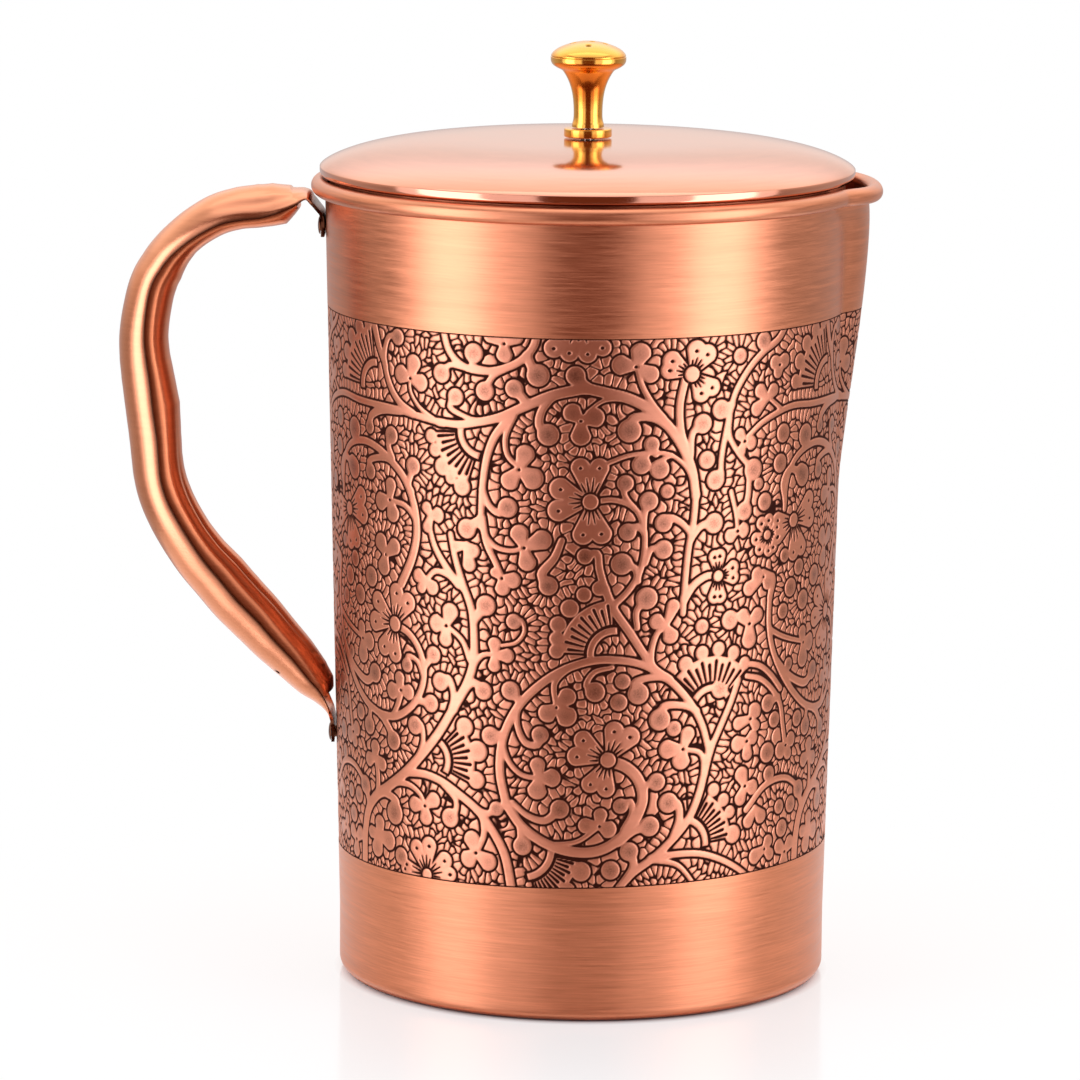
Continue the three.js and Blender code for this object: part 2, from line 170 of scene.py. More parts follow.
class JugStage(bpy.types.PropertyGroup):
    """The camera, the lamps and the floor."""

    camera_distance: length("Camera distance", "From the jug's axis", 1.4842)
    camera_height: length("Camera height", "Above the floor", 0.36327)
    camera_yaw: angle("Yaw", "Turn of the camera to the left", 0.421)
    camera_pitch: angle("Pitch", "Turn of the camera down", 9.795)
    camera_roll: angle("Roll", "Tilt of the camera", 0.439)
    lens: bpy.props.FloatProperty(
        name="Lens", description="Focal length for a 36 mm wide picture", default=203.69,
        unit="CAMERA")
    lamp_distance: length("Lamp distance", "From the jug to the tall side lamps", 1.0)
    lamp_angle: angle("Lamp angle", "From the camera round to each side lamp", 53.5)
    core_angle: angle("Core angle", "From the camera round to each lamp's bright strip", 59.5)
    side_glow: brightness("Side lamps", "Brightness of the wide side lamps' faces", 1.3)
    core_glow: brightness("Lamp cores", "Brightness of the strips in the side lamps", 2.7)
    top_glow: brightness("Top lamp", "Brightness of the top lamp's face", 1.0)


GROUPS = {
    "jug_wall": JugWall,
    "jug_spout": JugSpout,
    "jug_handle": JugHandle,
    "jug_lid": JugLid,
    "jug_knob": JugKnob,
    "jug_band": JugBand,
    "jug_colours": JugColours,
    "jug_stage": JugStage,
}


def sizes(name):
    """One of the scene's groups of sizes, by the end of its name."""
    return getattr(bpy.context.scene, "jug_" + name)


# Building with Blender's own tools


def clear_selection():
    """Leaves edit mode and deselects everything."""
    if bpy.context.object and bpy.context.object.mode != "OBJECT":
        bpy.ops.object.mode_set(mode="OBJECT")
    bpy.ops.object.select_all(action="DESELECT")


def take(piece):
    """Selects one piece alone and makes it active."""
    clear_selection()
    piece.select_set(True)
    bpy.context.view_layer.objects.active = piece


def named(name):
    """Names the object that the last operator added."""
    piece = bpy.context.object
    piece.name = piece.data.name = name
    return piece


def points_of(piece):
    """A mesh's points as an array."""
    points = np.empty(len(piece.data.vertices) * 3)
    piece.data.vertices.foreach_get("co", points)
    return points.reshape(-1, 3)


def move_points(piece, points):
    """Puts a mesh's points at new places."""
    piece.data.vertices.foreach_set("co", np.ascontiguousarray(points, float).ravel())
    piece.data.update()


def clean(piece, merge=1e-6):
    """Merges doubles and turns the faces of a closed shell outwards."""
    take(piece)
    bpy.ops.object.mode_set(mode="EDIT")
    bpy.ops.mesh.select_all(action="SELECT")
    bpy.ops.mesh.remove_doubles(threshold=merge)
    bpy.ops.mesh.normals_make_consistent(inside=False)
    bpy.ops.object.mode_set(mode="OBJECT")


def smooth(piece, degrees=35):
    """Shades a piece smooth, but for its edges sharper than an angle."""
    take(piece)
    bpy.ops.object.shade_smooth_by_angle(angle=math.radians(degrees))


def modify(piece, kind, **settings):
    """Adds a modifier with its settings and applies it."""
    take(piece)
    modifier = piece.modifiers.new(kind.title(), kind)
    for name, value in settings.items():
        setattr(modifier, name, value)
    bpy.ops.object.modifier_apply(modifier=modifier.name)


def spun(name, outline, steps):
    """Spins an outline of (radius, height) round the jug's axis into a closed shell.

    An outline whose ends lie on the axis closes there; any other closes on itself."""
    clear_selection()
    bpy.ops.mesh.primitive_circle_add(vertices=len(outline), radius=0.01, location=(0, 0, 0))
    piece = named(name)
    move_points(piece, [(r, 0, z) for r, z in outline])
    on_axis = [r < 1e-9 for r, z in outline]
    for edge in piece.data.edges:
        edge.select = all(on_axis[i] for i in edge.vertices)
    for vertex in piece.data.vertices:
        vertex.select = False
    bpy.ops.object.mode_set(mode="EDIT")
    bpy.ops.mesh.select_mode(type="EDGE")
    if any(on_axis):
        bpy.ops.mesh.delete(type="EDGE_FACE")
    bpy.ops.mesh.select_all(action="SELECT")
    bpy.ops.mesh.spin(
        steps=steps, angle=TURN, use_auto_merge=True, center=(0, 0, 0), axis=(0, 0, 1))
    bpy.ops.mesh.select_mode(type="VERT")
    clean(piece)
    return piece


def arc(r, z, radius, start, end, steps):
    """Points of an arc in (radius, height), angles in degrees."""
    turns = np.radians(np.linspace(start, end, steps + 1))
    return [(r + radius * math.cos(t), z + radius * math.sin(t)) for t in turns]


def offset(outline, distance):
    """An open outline moved to its left by a distance."""
    line = np.array(outline, float)
    heading = np.gradient(line, axis=0)
    heading /= np.linalg.norm(heading, axis=1)[:, None]
    return line + distance * np.stack([-heading[:, 1], heading[:, 0]], 1)


def add_seam_and_shade(piece, darkness):
    """Keeps at each of a piece's points how far it is darkened towards the patina colour: dark seam
    lines and painted shade.
    """
    tones = np.stack([darkness, darkness, darkness, np.ones_like(darkness)], 1)
    layer = piece.data.color_attributes.new("seam", "FLOAT_COLOR", "POINT")
    layer.data.foreach_set("color", tones.ravel())


def finished(piece, body, slot, *nodes):
    """Rides a finished piece on its body in place of its nodes."""
    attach(piece, body)
    if nodes:
        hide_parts(*nodes)
    return piece


def paint(piece, material):
    """Gives a piece one material."""
    piece.data.materials.clear()
    piece.data.materials.append(material)


# The wall

# How late the spout widens, how its depth grows with height, and how it fades to its sides
SPOUT_LATENESS, SPOUT_GROWTH, SPOUT_FADE = 14, 1.4, 1.2
# Height where the lip starts to sink, and the height that it takes to get there
LIP_FOOT, LIP_RUN = 0.190, 0.003


def bead_radius():
    """Outside radius of the rim's bead."""
    wall = sizes("wall")
    return wall.wire + wall.gap + wall.sheet


def rim_centre():
    """Radius and height of the middle of the rim's wire."""
    wall = sizes("wall")
    return wall.mouth_radius + wall.wire + wall.gap, wall.height - bead_radius()


def wall_radius(z):
    """Outside radius of the wall at a height, away from the spout."""
    wall = sizes("wall")
    rise = np.clip((z - wall.straight) / (rim_centre()[1] - wall.straight), 0, 1)
    return wall.base_radius + (wall.mouth_radius - wall.base_radius) * rise


def spout_growth(z, turn):
    """How far the spout pushes the wall out at a height and an angle from +X."""
    spout = sizes("spout")
    top = rim_centre()[1] - bead_radius()
    rise = np.clip((z - spout.foot) / (top - spout.foot), 0, 1)
    widening = rise ** SPOUT_LATENESS
    full = spout.depth + (spout.rim_depth - spout.depth) * widening
    depth = full * (1 - (1 - rise ** SPOUT_GROWTH) ** 2)
    half = spout.low_half + (spout.rim_half - spout.low_half) * widening
    across = np.clip(np.abs(turn) / half, 0, 1)
    return depth * np.maximum(1 - across ** (2 + widening), 0) ** SPOUT_FADE


def push_spout(points):
    """Pulls the spout out of points that stand round the jug's axis."""
    turn = np.arctan2(points[:, 1], points[:, 0])
    r = np.hypot(points[:, 0], points[:, 1])
    z = points[:, 2]
    grown = r + np.where(r > 1e-6, spout_growth(z, turn), 0)
    spout = sizes("spout")
    lip = spout.dip * np.clip((z - LIP_FOOT) / LIP_RUN, 0, 1)
    across = np.clip(np.abs(turn) / spout.rim_half, 0, 1)
    sunk = z - lip * (1 - across ** 2) ** 2
    return np.stack([grown * np.cos(turn), grown * np.sin(turn), sunk], 1)


def band_foot(turn):
    """Height of the engraved band's lower edge at an angle from +X."""
    band = sizes("band")
    return band.low + band.tilt * np.cos(turn)


def wall_outline():
    """The sheet body's outline, with a recess where the engraved band is let in."""
    wall, band, spout = sizes("wall"), sizes("band"), sizes("spout")
    foot_radius = wall.base_radius - wall.corner
    r, z = rim_centre()
    channel = wall.wire + wall.gap
    lower = np.linspace(wall.straight, band.low, 5)[:-1]
    inlaid = np.concatenate([
        np.linspace(band.low, spout.foot, 8), np.linspace(spout.foot, band.high, 20)[1:]])
    upper = np.linspace(band.high, z, 22)[1:-1]
    inner = np.concatenate([
        np.linspace(z, spout.foot, 30)[1:], np.linspace(spout.foot, wall.straight, 9)[1:]])
    rings = [share * foot_radius for share in (0, 0.25, 0.5, 0.75, 0.95)]
    return [
        *[(ring, 0) for ring in rings],
        *arc(foot_radius, wall.corner, wall.corner, -90, 0, 12),
        *[(wall_radius(h), h) for h in lower],
        (wall_radius(band.low), band.low),
        *[(wall_radius(h) - band.inlay, h) for h in inlaid],
        (wall_radius(band.high), band.high),
        *[(wall_radius(h), h) for h in upper],
        *arc(r, z, channel, 180, -115, 22),
        *arc(r, z, channel + wall.sheet, -115, 180, 34),
        *[(wall_radius(h) - wall.sheet, h) for h in inner],
        *arc(foot_radius, wall.corner, wall.corner - wall.sheet, 0, -90, 10),
        *[(ring, wall.sheet) for ring in reversed(rings)],
    ]


class JUG_OT_wall(bpy.types.Operator):
    """Spins the sheet body, pulls its spout and lets the band's recess follow the band's foot"""

    bl_idname = "jug.wall"
    bl_label = "Wall"

    def execute(self, context):
        wall, band, colours = sizes("wall"), sizes("band"), sizes("colours")
        piece = spun("wall_sheet", wall_outline(), 360)
        points = points_of(piece)
        turn = np.arctan2(points[:, 1], points[:, 0])
        mid_sheet = wall_radius(band.low) - (band.inlay + wall.sheet) / 2
        outside = np.hypot(points[:, 0], points[:, 1]) > mid_sheet
        at_foot = outside & (np.abs(points[:, 2] - band.low) < 1e-6)
        points[at_foot, 2] = band_foot(turn[at_foot])
        move_points(piece, push_spout(points))
        smooth(piece, 40)
        paint(piece, brushed_copper("brushed_wall", colours.copper, 0.32, depth=0.85))
        finished(piece, "jug", "wall_copper", "jug_body")
        paint(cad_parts["rim_wire"], plain_metal("drawn_wire", colours.steel, 0.35))
        return {"FINISHED"}


# The handle

# Its stations from the top down, as shares of its sizes: (rise, crown, half width) on the tabs,
# (reach, rise, crown, half width) on the bends, and with the inner depth before the last on the
# shells. A tab's or a bend's crown is a share of the sheet.
UPPER_TAB = ((0.925, 0.12, 0.7), (0.962, 0.12, 0.76))
UPPER_BEND = ((0.044, 0.976, 0.12, 0.8), (0.072, 0.987, 0.12, 0.86))
SHELLS = (
    (0.100, 0.994, 0.18, 0.03, 0.90), (0.154, 0.983, 0.60, 0.16, 0.95),
    (0.243, 0.970, 0.90, 0.55, 1.00), (0.341, 0.960, 1.02, 0.43, 1.00),
    (0.461, 0.955, 1.00, 0.40, 1.00), (0.571, 0.947, 0.94, 0.44, 1.00),
    (0.682, 0.929, 0.88, 0.47, 1.00), (0.765, 0.911, 0.82, 0.53, 1.00),
    (0.849, 0.887, 0.77, 0.71, 1.00), (0.906, 0.863, 0.76, 0.84, 1.00),
    (0.953, 0.836, 0.77, 0.89, 1.00), (0.986, 0.788, 0.84, 0.85, 1.00),
    (0.999, 0.738, 0.92, 0.80, 1.00), (0.990, 0.701, 0.99, 0.78, 1.00),
    (0.976, 0.665, 1.03, 0.82, 1.00), (0.962, 0.611, 1.01, 0.93, 1.00),
    (0.942, 0.556, 1.03, 0.80, 1.00), (0.936, 0.520, 1.01, 0.78, 1.00),
    (0.927, 0.482, 0.99, 0.83, 1.00), (0.896, 0.446, 1.02, 0.84, 1.00),
    (0.842, 0.410, 1.07, 0.80, 1.00), (0.778, 0.374, 1.09, 0.79, 1.00),
    (0.704, 0.337, 1.09, 0.86, 1.00), (0.615, 0.301, 1.09, 0.95, 1.00),
    (0.525, 0.264, 1.08, 0.98, 1.00), (0.417, 0.227, 1.07, 0.92, 1.00),
    (0.325, 0.191, 0.99, 0.88, 0.99), (0.226, 0.155, 0.89, 0.81, 0.97),
    (0.136, 0.117, 0.71, 0.73, 0.94), (0.085, 0.097, 0.59, 0.57, 0.90),
    (0.048, 0.075, 0.36, 0.18, 0.84),
)
LOWER_BEND = ((0.026, 0.050, 0.14, 0.78),)
LOWER_TAB = ((0.032, 0.12, 0.74), (0.000, 0.12, 0.68))
UPPER_RIVET, LOWER_RIVET = 0.942, 0.012
# Marks in it: the station and the share of its width at their middles, each with its spread
SQUEEZES = ((6.5, 3.2, 0.20, 0.10), (5.5, 1.6, 0.10, 0.06))
FOLD = (6, 2.6, 0.27, 0.05)
UPPER_FLUTES = ((13, 4.5, 0.20, 0.035), (13, 4.5, 0.80, 0.035))
LOWER_FLUTES = ((26, 4, 0.24, 0.03), (26, 4, 0.76, 0.03), (26, 4, 0.36, 0.03))
# Places of the painted shade that darkens the inner shell's flutes, given like the marks above.
FLUTE_SHADES = (*UPPER_FLUTES, (26, 4, 0.24, 0.03), (26, 4, 0.36, 0.025))
WORN_EDGE = 0.00016


def handle_height(rise):
    """A height on the handle, as a share of the way from its foot to its top."""
    handle = sizes("handle")
    top = rim_centre()[1] - handle.top_drop
    return handle.foot + (top - handle.foot) * rise


def handle_stations():
    """Rows of (x, z, crown, inner, half width) down the handle, and the shells' first and last."""
    handle, wall = sizes("handle"), sizes("wall")
    rows = []

    def tab(rise, crown, half):
        z = handle_height(rise)
        x = -(wall_radius(z) + wall.gap + wall.sheet / 2)
        rows.append((x, z, crown * wall.sheet, 0, half * handle.half_width))

    def free(reach, rise, crown, inner, half):
        z = handle_height(rise)
        x = -(wall_radius(z) + reach * handle.reach)
        rows.append((x, z, crown, inner, half * handle.half_width))

    for row in UPPER_TAB:
        tab(*row)
    for reach, rise, crown, half in UPPER_BEND:
        free(reach, rise, crown * wall.sheet, 0, half)
    first = len(rows)
    for reach, rise, crown, inner, half in SHELLS:
        free(reach, rise, crown * handle.crown, inner * handle.inner, half)
    last = len(rows) - 1
    for reach, rise, crown, half in LOWER_BEND:
        free(reach, rise, crown * wall.sheet, 0, half)
    for row in LOWER_TAB:
        tab(*row)
    return np.array(rows), first, last


def smooth_curve(knots, at):
    """A centripetal Catmull-Rom curve through knots, read at places counted in knots."""
    padded = np.vstack([2 * knots[0] - knots[1], knots, 2 * knots[-1] - knots[-2]])
    low = np.minimum(at.astype(int), len(knots) - 2)
    t = (at - low)[:, None]
    p0, p1, p2, p3 = (padded[low + i] for i in range(4))
    pairs = ((p0, p1), (p1, p2), (p2, p3))
    d0, d1, d2 = (np.linalg.norm(b - a, axis=1)[:, None] ** 0.5 for a, b in pairs)
    m1 = ((p1 - p0) / d0 - (p2 - p0) / (d0 + d1) + (p2 - p1) / d1) * d1
    m2 = ((p2 - p1) / d1 - (p3 - p1) / (d1 + d2) + (p3 - p2) / d2) * d1
    c2 = -3 * p1 + 3 * p2 - 2 * m1 - m2
    c3 = 2 * p1 - 2 * p2 + m1 + m2
    return p1 + m1 * t + c2 * t ** 2 + c3 * t ** 3, m1 + 2 * c2 * t + 3 * c3 * t ** 2


def handle_sheet(name, first, last, section, seam, rows_each=6, across=60):
    """Forms a sheet along the handle: section gives its middle surface as (across, out)."""
    stations = handle_stations()[0]
    rows = round((last - first) * rows_each)
    clear_selection()
    bpy.ops.mesh.primitive_grid_add(
        x_subdivisions=across, y_subdivisions=rows, size=1, location=(0, 0, 0))
    piece = named(name)
    grid = points_of(piece) + 0.5
    at = first + (last - first) * grid[:, 1]
    middle, heading = smooth_curve(stations[:, :2], at)
    heading /= np.linalg.norm(heading, axis=1)[:, None]
    knots = np.arange(len(stations))
    crown, inner, half = (np.interp(at, knots, stations[:, i]) for i in (2, 3, 4))
    y, out = section(grid[:, 0], at, crown, inner, half)
    x = middle[:, 0] + heading[:, 1] * out
    z = middle[:, 1] - heading[:, 0] * out
    move_points(piece, np.stack([x, y, z], 1))
    add_seam_and_shade(piece, seam(grid[:, 0], at, len(stations)))
    modify(piece, "SOLIDIFY", thickness=sizes("wall").sheet, offset=0, use_even_offset=True)
    modify(piece, "BEVEL", width=WORN_EDGE, segments=2, limit_method="ANGLE",
           angle_limit=math.radians(50))
    clean(piece, 1e-7)
    smooth(piece, 45)
    return piece


def bump(value, middle, spread):
    """A bell curve of height 1 round a middle."""
    return np.exp(-((value - middle) / spread) ** 2)


def strengths(t, at, places):
    """How strong each mark is, at shares of the width and stations of the handle."""
    return [bump(at, station, run) * bump(t, side, spread) for station, run, side, spread in places]


def outer_section(t, at, crown, inner, half):
    """A half round, flattened along a crease where the tube was squeezed near its top."""
    turn = math.pi * t
    squeeze = sum(strengths(t, at, SQUEEZES))
    station, run, side, spread = FOLD
    fold = bump(at, station, run) * np.maximum(1 - np.abs(t - side) / spread, 0)
    out = crown * np.maximum(np.sin(turn), 0) ** 1.25
    return -half * np.cos(turn), out * (1 - 0.22 * squeeze + 0.07 * fold)


def inner_section(t, at, crown, inner, half):
    """A half round with a short upright flange at each edge, which the outer shell laps."""
    handle, wall = sizes("handle"), sizes("wall")
    tucked = half - wall.sheet - wall.gap
    flange = 0.08
    turn = math.pi * np.clip((t - flange) / (1 - 2 * flange), 0, 1)
    up = np.clip(np.maximum(flange - t, t - 1 + flange) / flange, 0, 1) * handle.lap
    depth = inner * np.maximum(np.sin(turn), 0) ** 0.9
    groove = 0.6 * sum(strengths(t, at, UPPER_FLUTES)) + sum(strengths(t, at, LOWER_FLUTES))
    return -tucked * np.cos(turn), up - depth * (1 - 0.13 * groove)


def outer_lap_and_tab_shade(t, at, count):
    """Darkness towards the patina colour: a dark seam line with painted shade where the outer
    shell's edge laps the inner one, and painted shade over the tabs.
    """
    line = np.maximum(bump(t, 0, 0.055), bump(t, 1, 0.055))
    body = np.clip((at - 3.5) / 1.5, 0, 1) * np.clip((count - 3 - at) / 1.5, 0, 1)
    tabs = np.maximum(np.clip(3.7 - at, 0, 1), np.clip(at + 3 - count, 0, 1))
    return np.maximum(0.85 * line * body, 0.93 * tabs)


def inner_lap_and_flute_shade(t, at, count):
    """Painted shade under the lap, and painted shade in the flutes that the forming left along the
    inner shell.
    """
    lap = np.maximum(bump(t, 0, 0.085), bump(t, 1, 0.085))
    return np.maximum(lap, 0.5 * np.max(strengths(t, at, FLUTE_SHADES), axis=0))


class JUG_OT_handle(bpy.types.Operator):
    """Forms the two shells of the hollow handle"""

    bl_idname = "jug.handle"
    bl_label = "Handle"

    def execute(self, context):
        stations, first, last = handle_stations()
        colours = sizes("colours")
        end = len(stations) - 1
        outer = handle_sheet("handle_outer", 0, end, outer_section, outer_lap_and_tab_shade)
        self.bore_vent(outer, stations[last - 3])
        paint(outer, brushed_copper("satin_handle", colours.handle, 0.24, colours.dark, 0.25))
        finished(outer, "jug", "handle_copper", "handle_outer_shell")
        inner = handle_sheet("handle_inner", first + 1, last - 0.5, inner_section, inner_lap_and_flute_shade)
        copper = brushed_copper("satin_inner_shell", colours.inner, 0.30, colours.dark, 0.3)
        paint(inner, copper)
        finished(inner, "jug", "handle_inner_copper", "handle_inner_shell")
        return {"FINISHED"}

    def bore_vent(self, outer, station):
        """Bores the small vent outwards and down through the outer shell."""
        handle = sizes("handle")
        slant = handle.crown * math.sqrt(0.5)
        clear_selection()
        bpy.ops.mesh.primitive_cylinder_add(
            vertices=24, radius=handle.vent, depth=2 * handle.crown, rotation=(0, math.pi / 4, 0),
            location=(station[0] - slant, -handle.vent_aside, station[1] - slant))
        drill = named("vent_drill")
        modify(outer, "BOOLEAN", object=drill, operation="DIFFERENCE")
        take(drill)
        bpy.ops.object.delete()
        smooth(outer, 45)


class JUG_OT_rivets(bpy.types.Operator):
    """Turns the two rivets that hold the handle's tabs"""

    bl_idname = "jug.rivets"
    bl_label = "Rivets"

    def execute(self, context):
        handle, wall = sizes("handle"), sizes("wall")
        head, height, shank = handle.rivet_head, handle.rivet_rise, handle.rivet_shank
        quarter = np.linspace(0, math.pi / 2, 9)
        dome = [(head * math.cos(t), height * math.sin(t)) for t in quarter]
        # Painted shade: the rivets' copper is the handle's at a quarter of its brightness.
        copper = brushed_copper("satin_rivets", darker(sizes("colours").handle, 0.25), 0.30)
        rivets = (("handle_upper_rivet", UPPER_RIVET), ("handle_lower_rivet", LOWER_RIVET))
        for name, rise in rivets:
            z = handle_height(rise)
            inside = wall_radius(z) - wall.sheet - wall.gap
            outside = wall_radius(z) + 2 * wall.gap + wall.sheet
            outline = [(r, inside - h) for r, h in reversed(dome)]
            outline += [(shank, inside), (shank, outside)]
            outline += [(r, outside + h) for r, h in dome]
            outline[0], outline[-1] = (0, outline[0][1]), (0, outline[-1][1])
            piece = spun(name + "_turned", outline, 48)
            points = points_of(piece)
            move_points(piece, np.stack([-points[:, 2], points[:, 1], points[:, 0] + z], 1))
            clean(piece)
            smooth(piece)
            paint(piece, copper)
            finished(piece, "jug", "rivet_copper", name)
        return {"FINISHED"}


# The lid

# Exponents of the dome's curve: how flat it is in the middle, and how steeply it meets its edge
DOME_FLATNESS, DOME_STEEPNESS = 4.3, 0.75
SOFT_EDGE = 0.0002


def lid_heights():
    """Heights of the hem's underside and of the top of the upright edge."""
    wall, lid = sizes("wall"), sizes("lid")
    hem = wall.height + wall.gap
    return hem, hem + lid.edge


def lid_surface(r):
    """Height of the lid's top at a radius."""
    inward = np.maximum(1 - (r / rim_centre()[0]) ** DOME_FLATNESS, 0)
    return lid_heights()[1] + sizes("lid").rise * inward ** DOME_STEEPNESS


def cover_outline():
    """The lid's outline: under the dome from the screw's bore, round the hem and back on top."""
    wall, lid, knob = sizes("wall"), sizes("lid"), sizes("knob")
    radius = rim_centre()[0]
    hem, edge = lid_heights()
    inwards = 1 - np.linspace(0, 1, 60) ** 2.2
    radii = [max(share * radius, knob.bore) for share in inwards[:-1]] + [knob.bore]
    over = [(r, lid_surface(r)) for r in radii]
    under = offset(over, wall.sheet)[3:]
    under[-1] = (knob.bore, lid_surface(knob.bore) - wall.sheet)
    bend, lip = wall.sheet / 2, lid.lip
    return [
        *reversed([tuple(p) for p in under]),
        (radius - wall.sheet, edge - SOFT_EDGE),
        (radius - wall.sheet, hem + wall.sheet),
        (radius - lid.hem, hem + wall.sheet),
        *arc(radius - lid.hem + SOFT_EDGE / 2, hem + bend, bend, 180, 270, 5),
        *arc(radius - lip, hem + lip, lip, -90, 0, 10),
        *over,
    ]


class JUG_OT_lid(bpy.types.Operator):
    """Spins the lid's cover and the push-fit collar under it"""

    bl_idname = "jug.lid"
    bl_label = "Lid"

    def execute(self, context):
        wall, lid, colours = sizes("wall"), sizes("lid"), sizes("colours")
        cover = spun("lid_cover_spun", cover_outline(), 256)
        smooth(cover, 40)
        paint(cover, brushed_copper("polished_lid", colours.lid, 0.12, depth=0.2))
        finished(cover, "lid", "lid_copper", "lid_cover")
        outer = wall.mouth_radius - wall.sheet - wall.gap
        top = lid_surface(outer) - wall.sheet - 2 * wall.gap
        bottom = wall.height - lid.collar_depth
        low, seat = outer - lid.collar_taper, rim_centre()[1]
        collar = spun("lid_collar_ring", [
            (low - wall.sheet, bottom + SOFT_EDGE),
            (low - wall.sheet / 2, bottom),
            (low, bottom + SOFT_EDGE),
            (outer, seat),
            (outer, top - wall.sheet / 2),
            (outer - wall.sheet, top),
            (outer - wall.sheet, seat),
        ], 192)
        smooth(collar, 40)
        paint(collar, brushed_copper("satin_collar", colours.copper, 0.32))
        finished(collar, "lid", "collar_copper", "lid_collar")
        paint(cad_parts["knob_screw"], plain_metal("turned_screw", colours.steel, 0.3))
        return {"FINISHED"}


# The knob

# Millimetres of height and radius, from its foot to the middle of its top
KNOB_PROFILE = (
    (0.0, 3.95), (0.7, 3.90), (1.4, 3.68), (2.1, 3.56), (2.9, 3.51), (4.3, 3.52), (5.8, 3.60),
    (7.3, 3.76), (8.7, 4.01), (10.2, 4.43), (11.65, 5.02), (13.1, 5.83), (13.85, 6.42),
    (14.6, 7.85), (15.3, 8.77), (16.0, 9.14), (16.77, 9.20), (17.1, 9.18), (17.25, 8.98),
    (17.4, 9.12), (18.2, 8.66), (19.0, 7.68), (19.7, 6.30), (20.4, 4.20), (20.8, 2.3), (21.0, 0.0),
)
# Places of the dimples in the top, in millimetres
DIMPLES = ((0, -4.7), (-3.6, -0.5), (3.95, -0.8), (-1.2, 0.8), (0.9, -0.8))
KNOB_TOP, KNOB_BORE_DEPTH, RING_BEVEL = 0.018, 0.0093, 0.00034


def turned_knob(knob, foot):
    """The knob from its foot's height up, bored for its screw, with its top's dimples and painted
    shade in them.
    """
    knots = np.array(KNOB_PROFILE) * MILLI
    knots = knots[:, ::-1] + (0, foot)
    end = len(knots) - 1
    at = np.concatenate([np.linspace(0, end - 2, 150), np.linspace(end - 2, end, 40)[1:]])
    turned = smooth_curve(knots, at)[0]
    turned[-1, 0] = 0
    bore_end = foot + KNOB_BORE_DEPTH
    bored = [(0, bore_end), (knob.bore, bore_end), (knob.bore, foot)]
    piece = spun("knob_turned", bored + [tuple(p) for p in turned], 144)
    points = points_of(piece)
    on_top = points[:, 2] > foot + KNOB_TOP
    pits = np.zeros(len(points))
    for x, y in DIMPLES:
        away = np.hypot(points[:, 0] - x * MILLI, points[:, 1] - y * MILLI) / knob.dimple
        pits = np.maximum(pits, on_top * np.maximum(1 - away ** 2, 0))
    points[:, 2] -= knob.dimple_depth * pits ** 1.5
    move_points(piece, points)
    # Painted shade in the dimples, darkening them towards the patina colour.
    add_seam_and_shade(piece, np.minimum(1.2 * pits, 0.95))
    return piece


def turned_ring(knob, low):
    """The knob's foot ring from its lower face up, with rounded edges."""
    high, flat = low + knob.ring_height, knob.ring_radius - RING_BEVEL
    return spun("foot_ring_turned", [
        (knob.bore, low),
        (flat, low),
        *arc(flat, low + RING_BEVEL, RING_BEVEL, -90, 0, 6),
        *arc(flat, high - RING_BEVEL, RING_BEVEL, 0, 90, 6),
        (knob.bore, high),
    ], 96)


class JUG_OT_knob(bpy.types.Operator):
    """Turns the brass knob, punches its dimples and turns its foot ring"""

    bl_idname = "jug.knob"
    bl_label = "Knob"

    def execute(self, context):
        wall, knob, colours = sizes("wall"), sizes("knob"), sizes("colours")
        brass = polished_brass("polished_brass", colours.brass, colours.dark)
        low = lid_surface(0) + wall.gap
        foot = low + knob.ring_height + wall.gap
        for node, turned, height in (
                ("knob", turned_knob, foot), ("knob_foot_ring", turned_ring, low)):
            piece = turned(knob, height)
            smooth(piece, 40)
            paint(piece, brass)
            finished(piece, "lid", "knob_brass", node)
        return {"FINISHED"}


# The engraved band

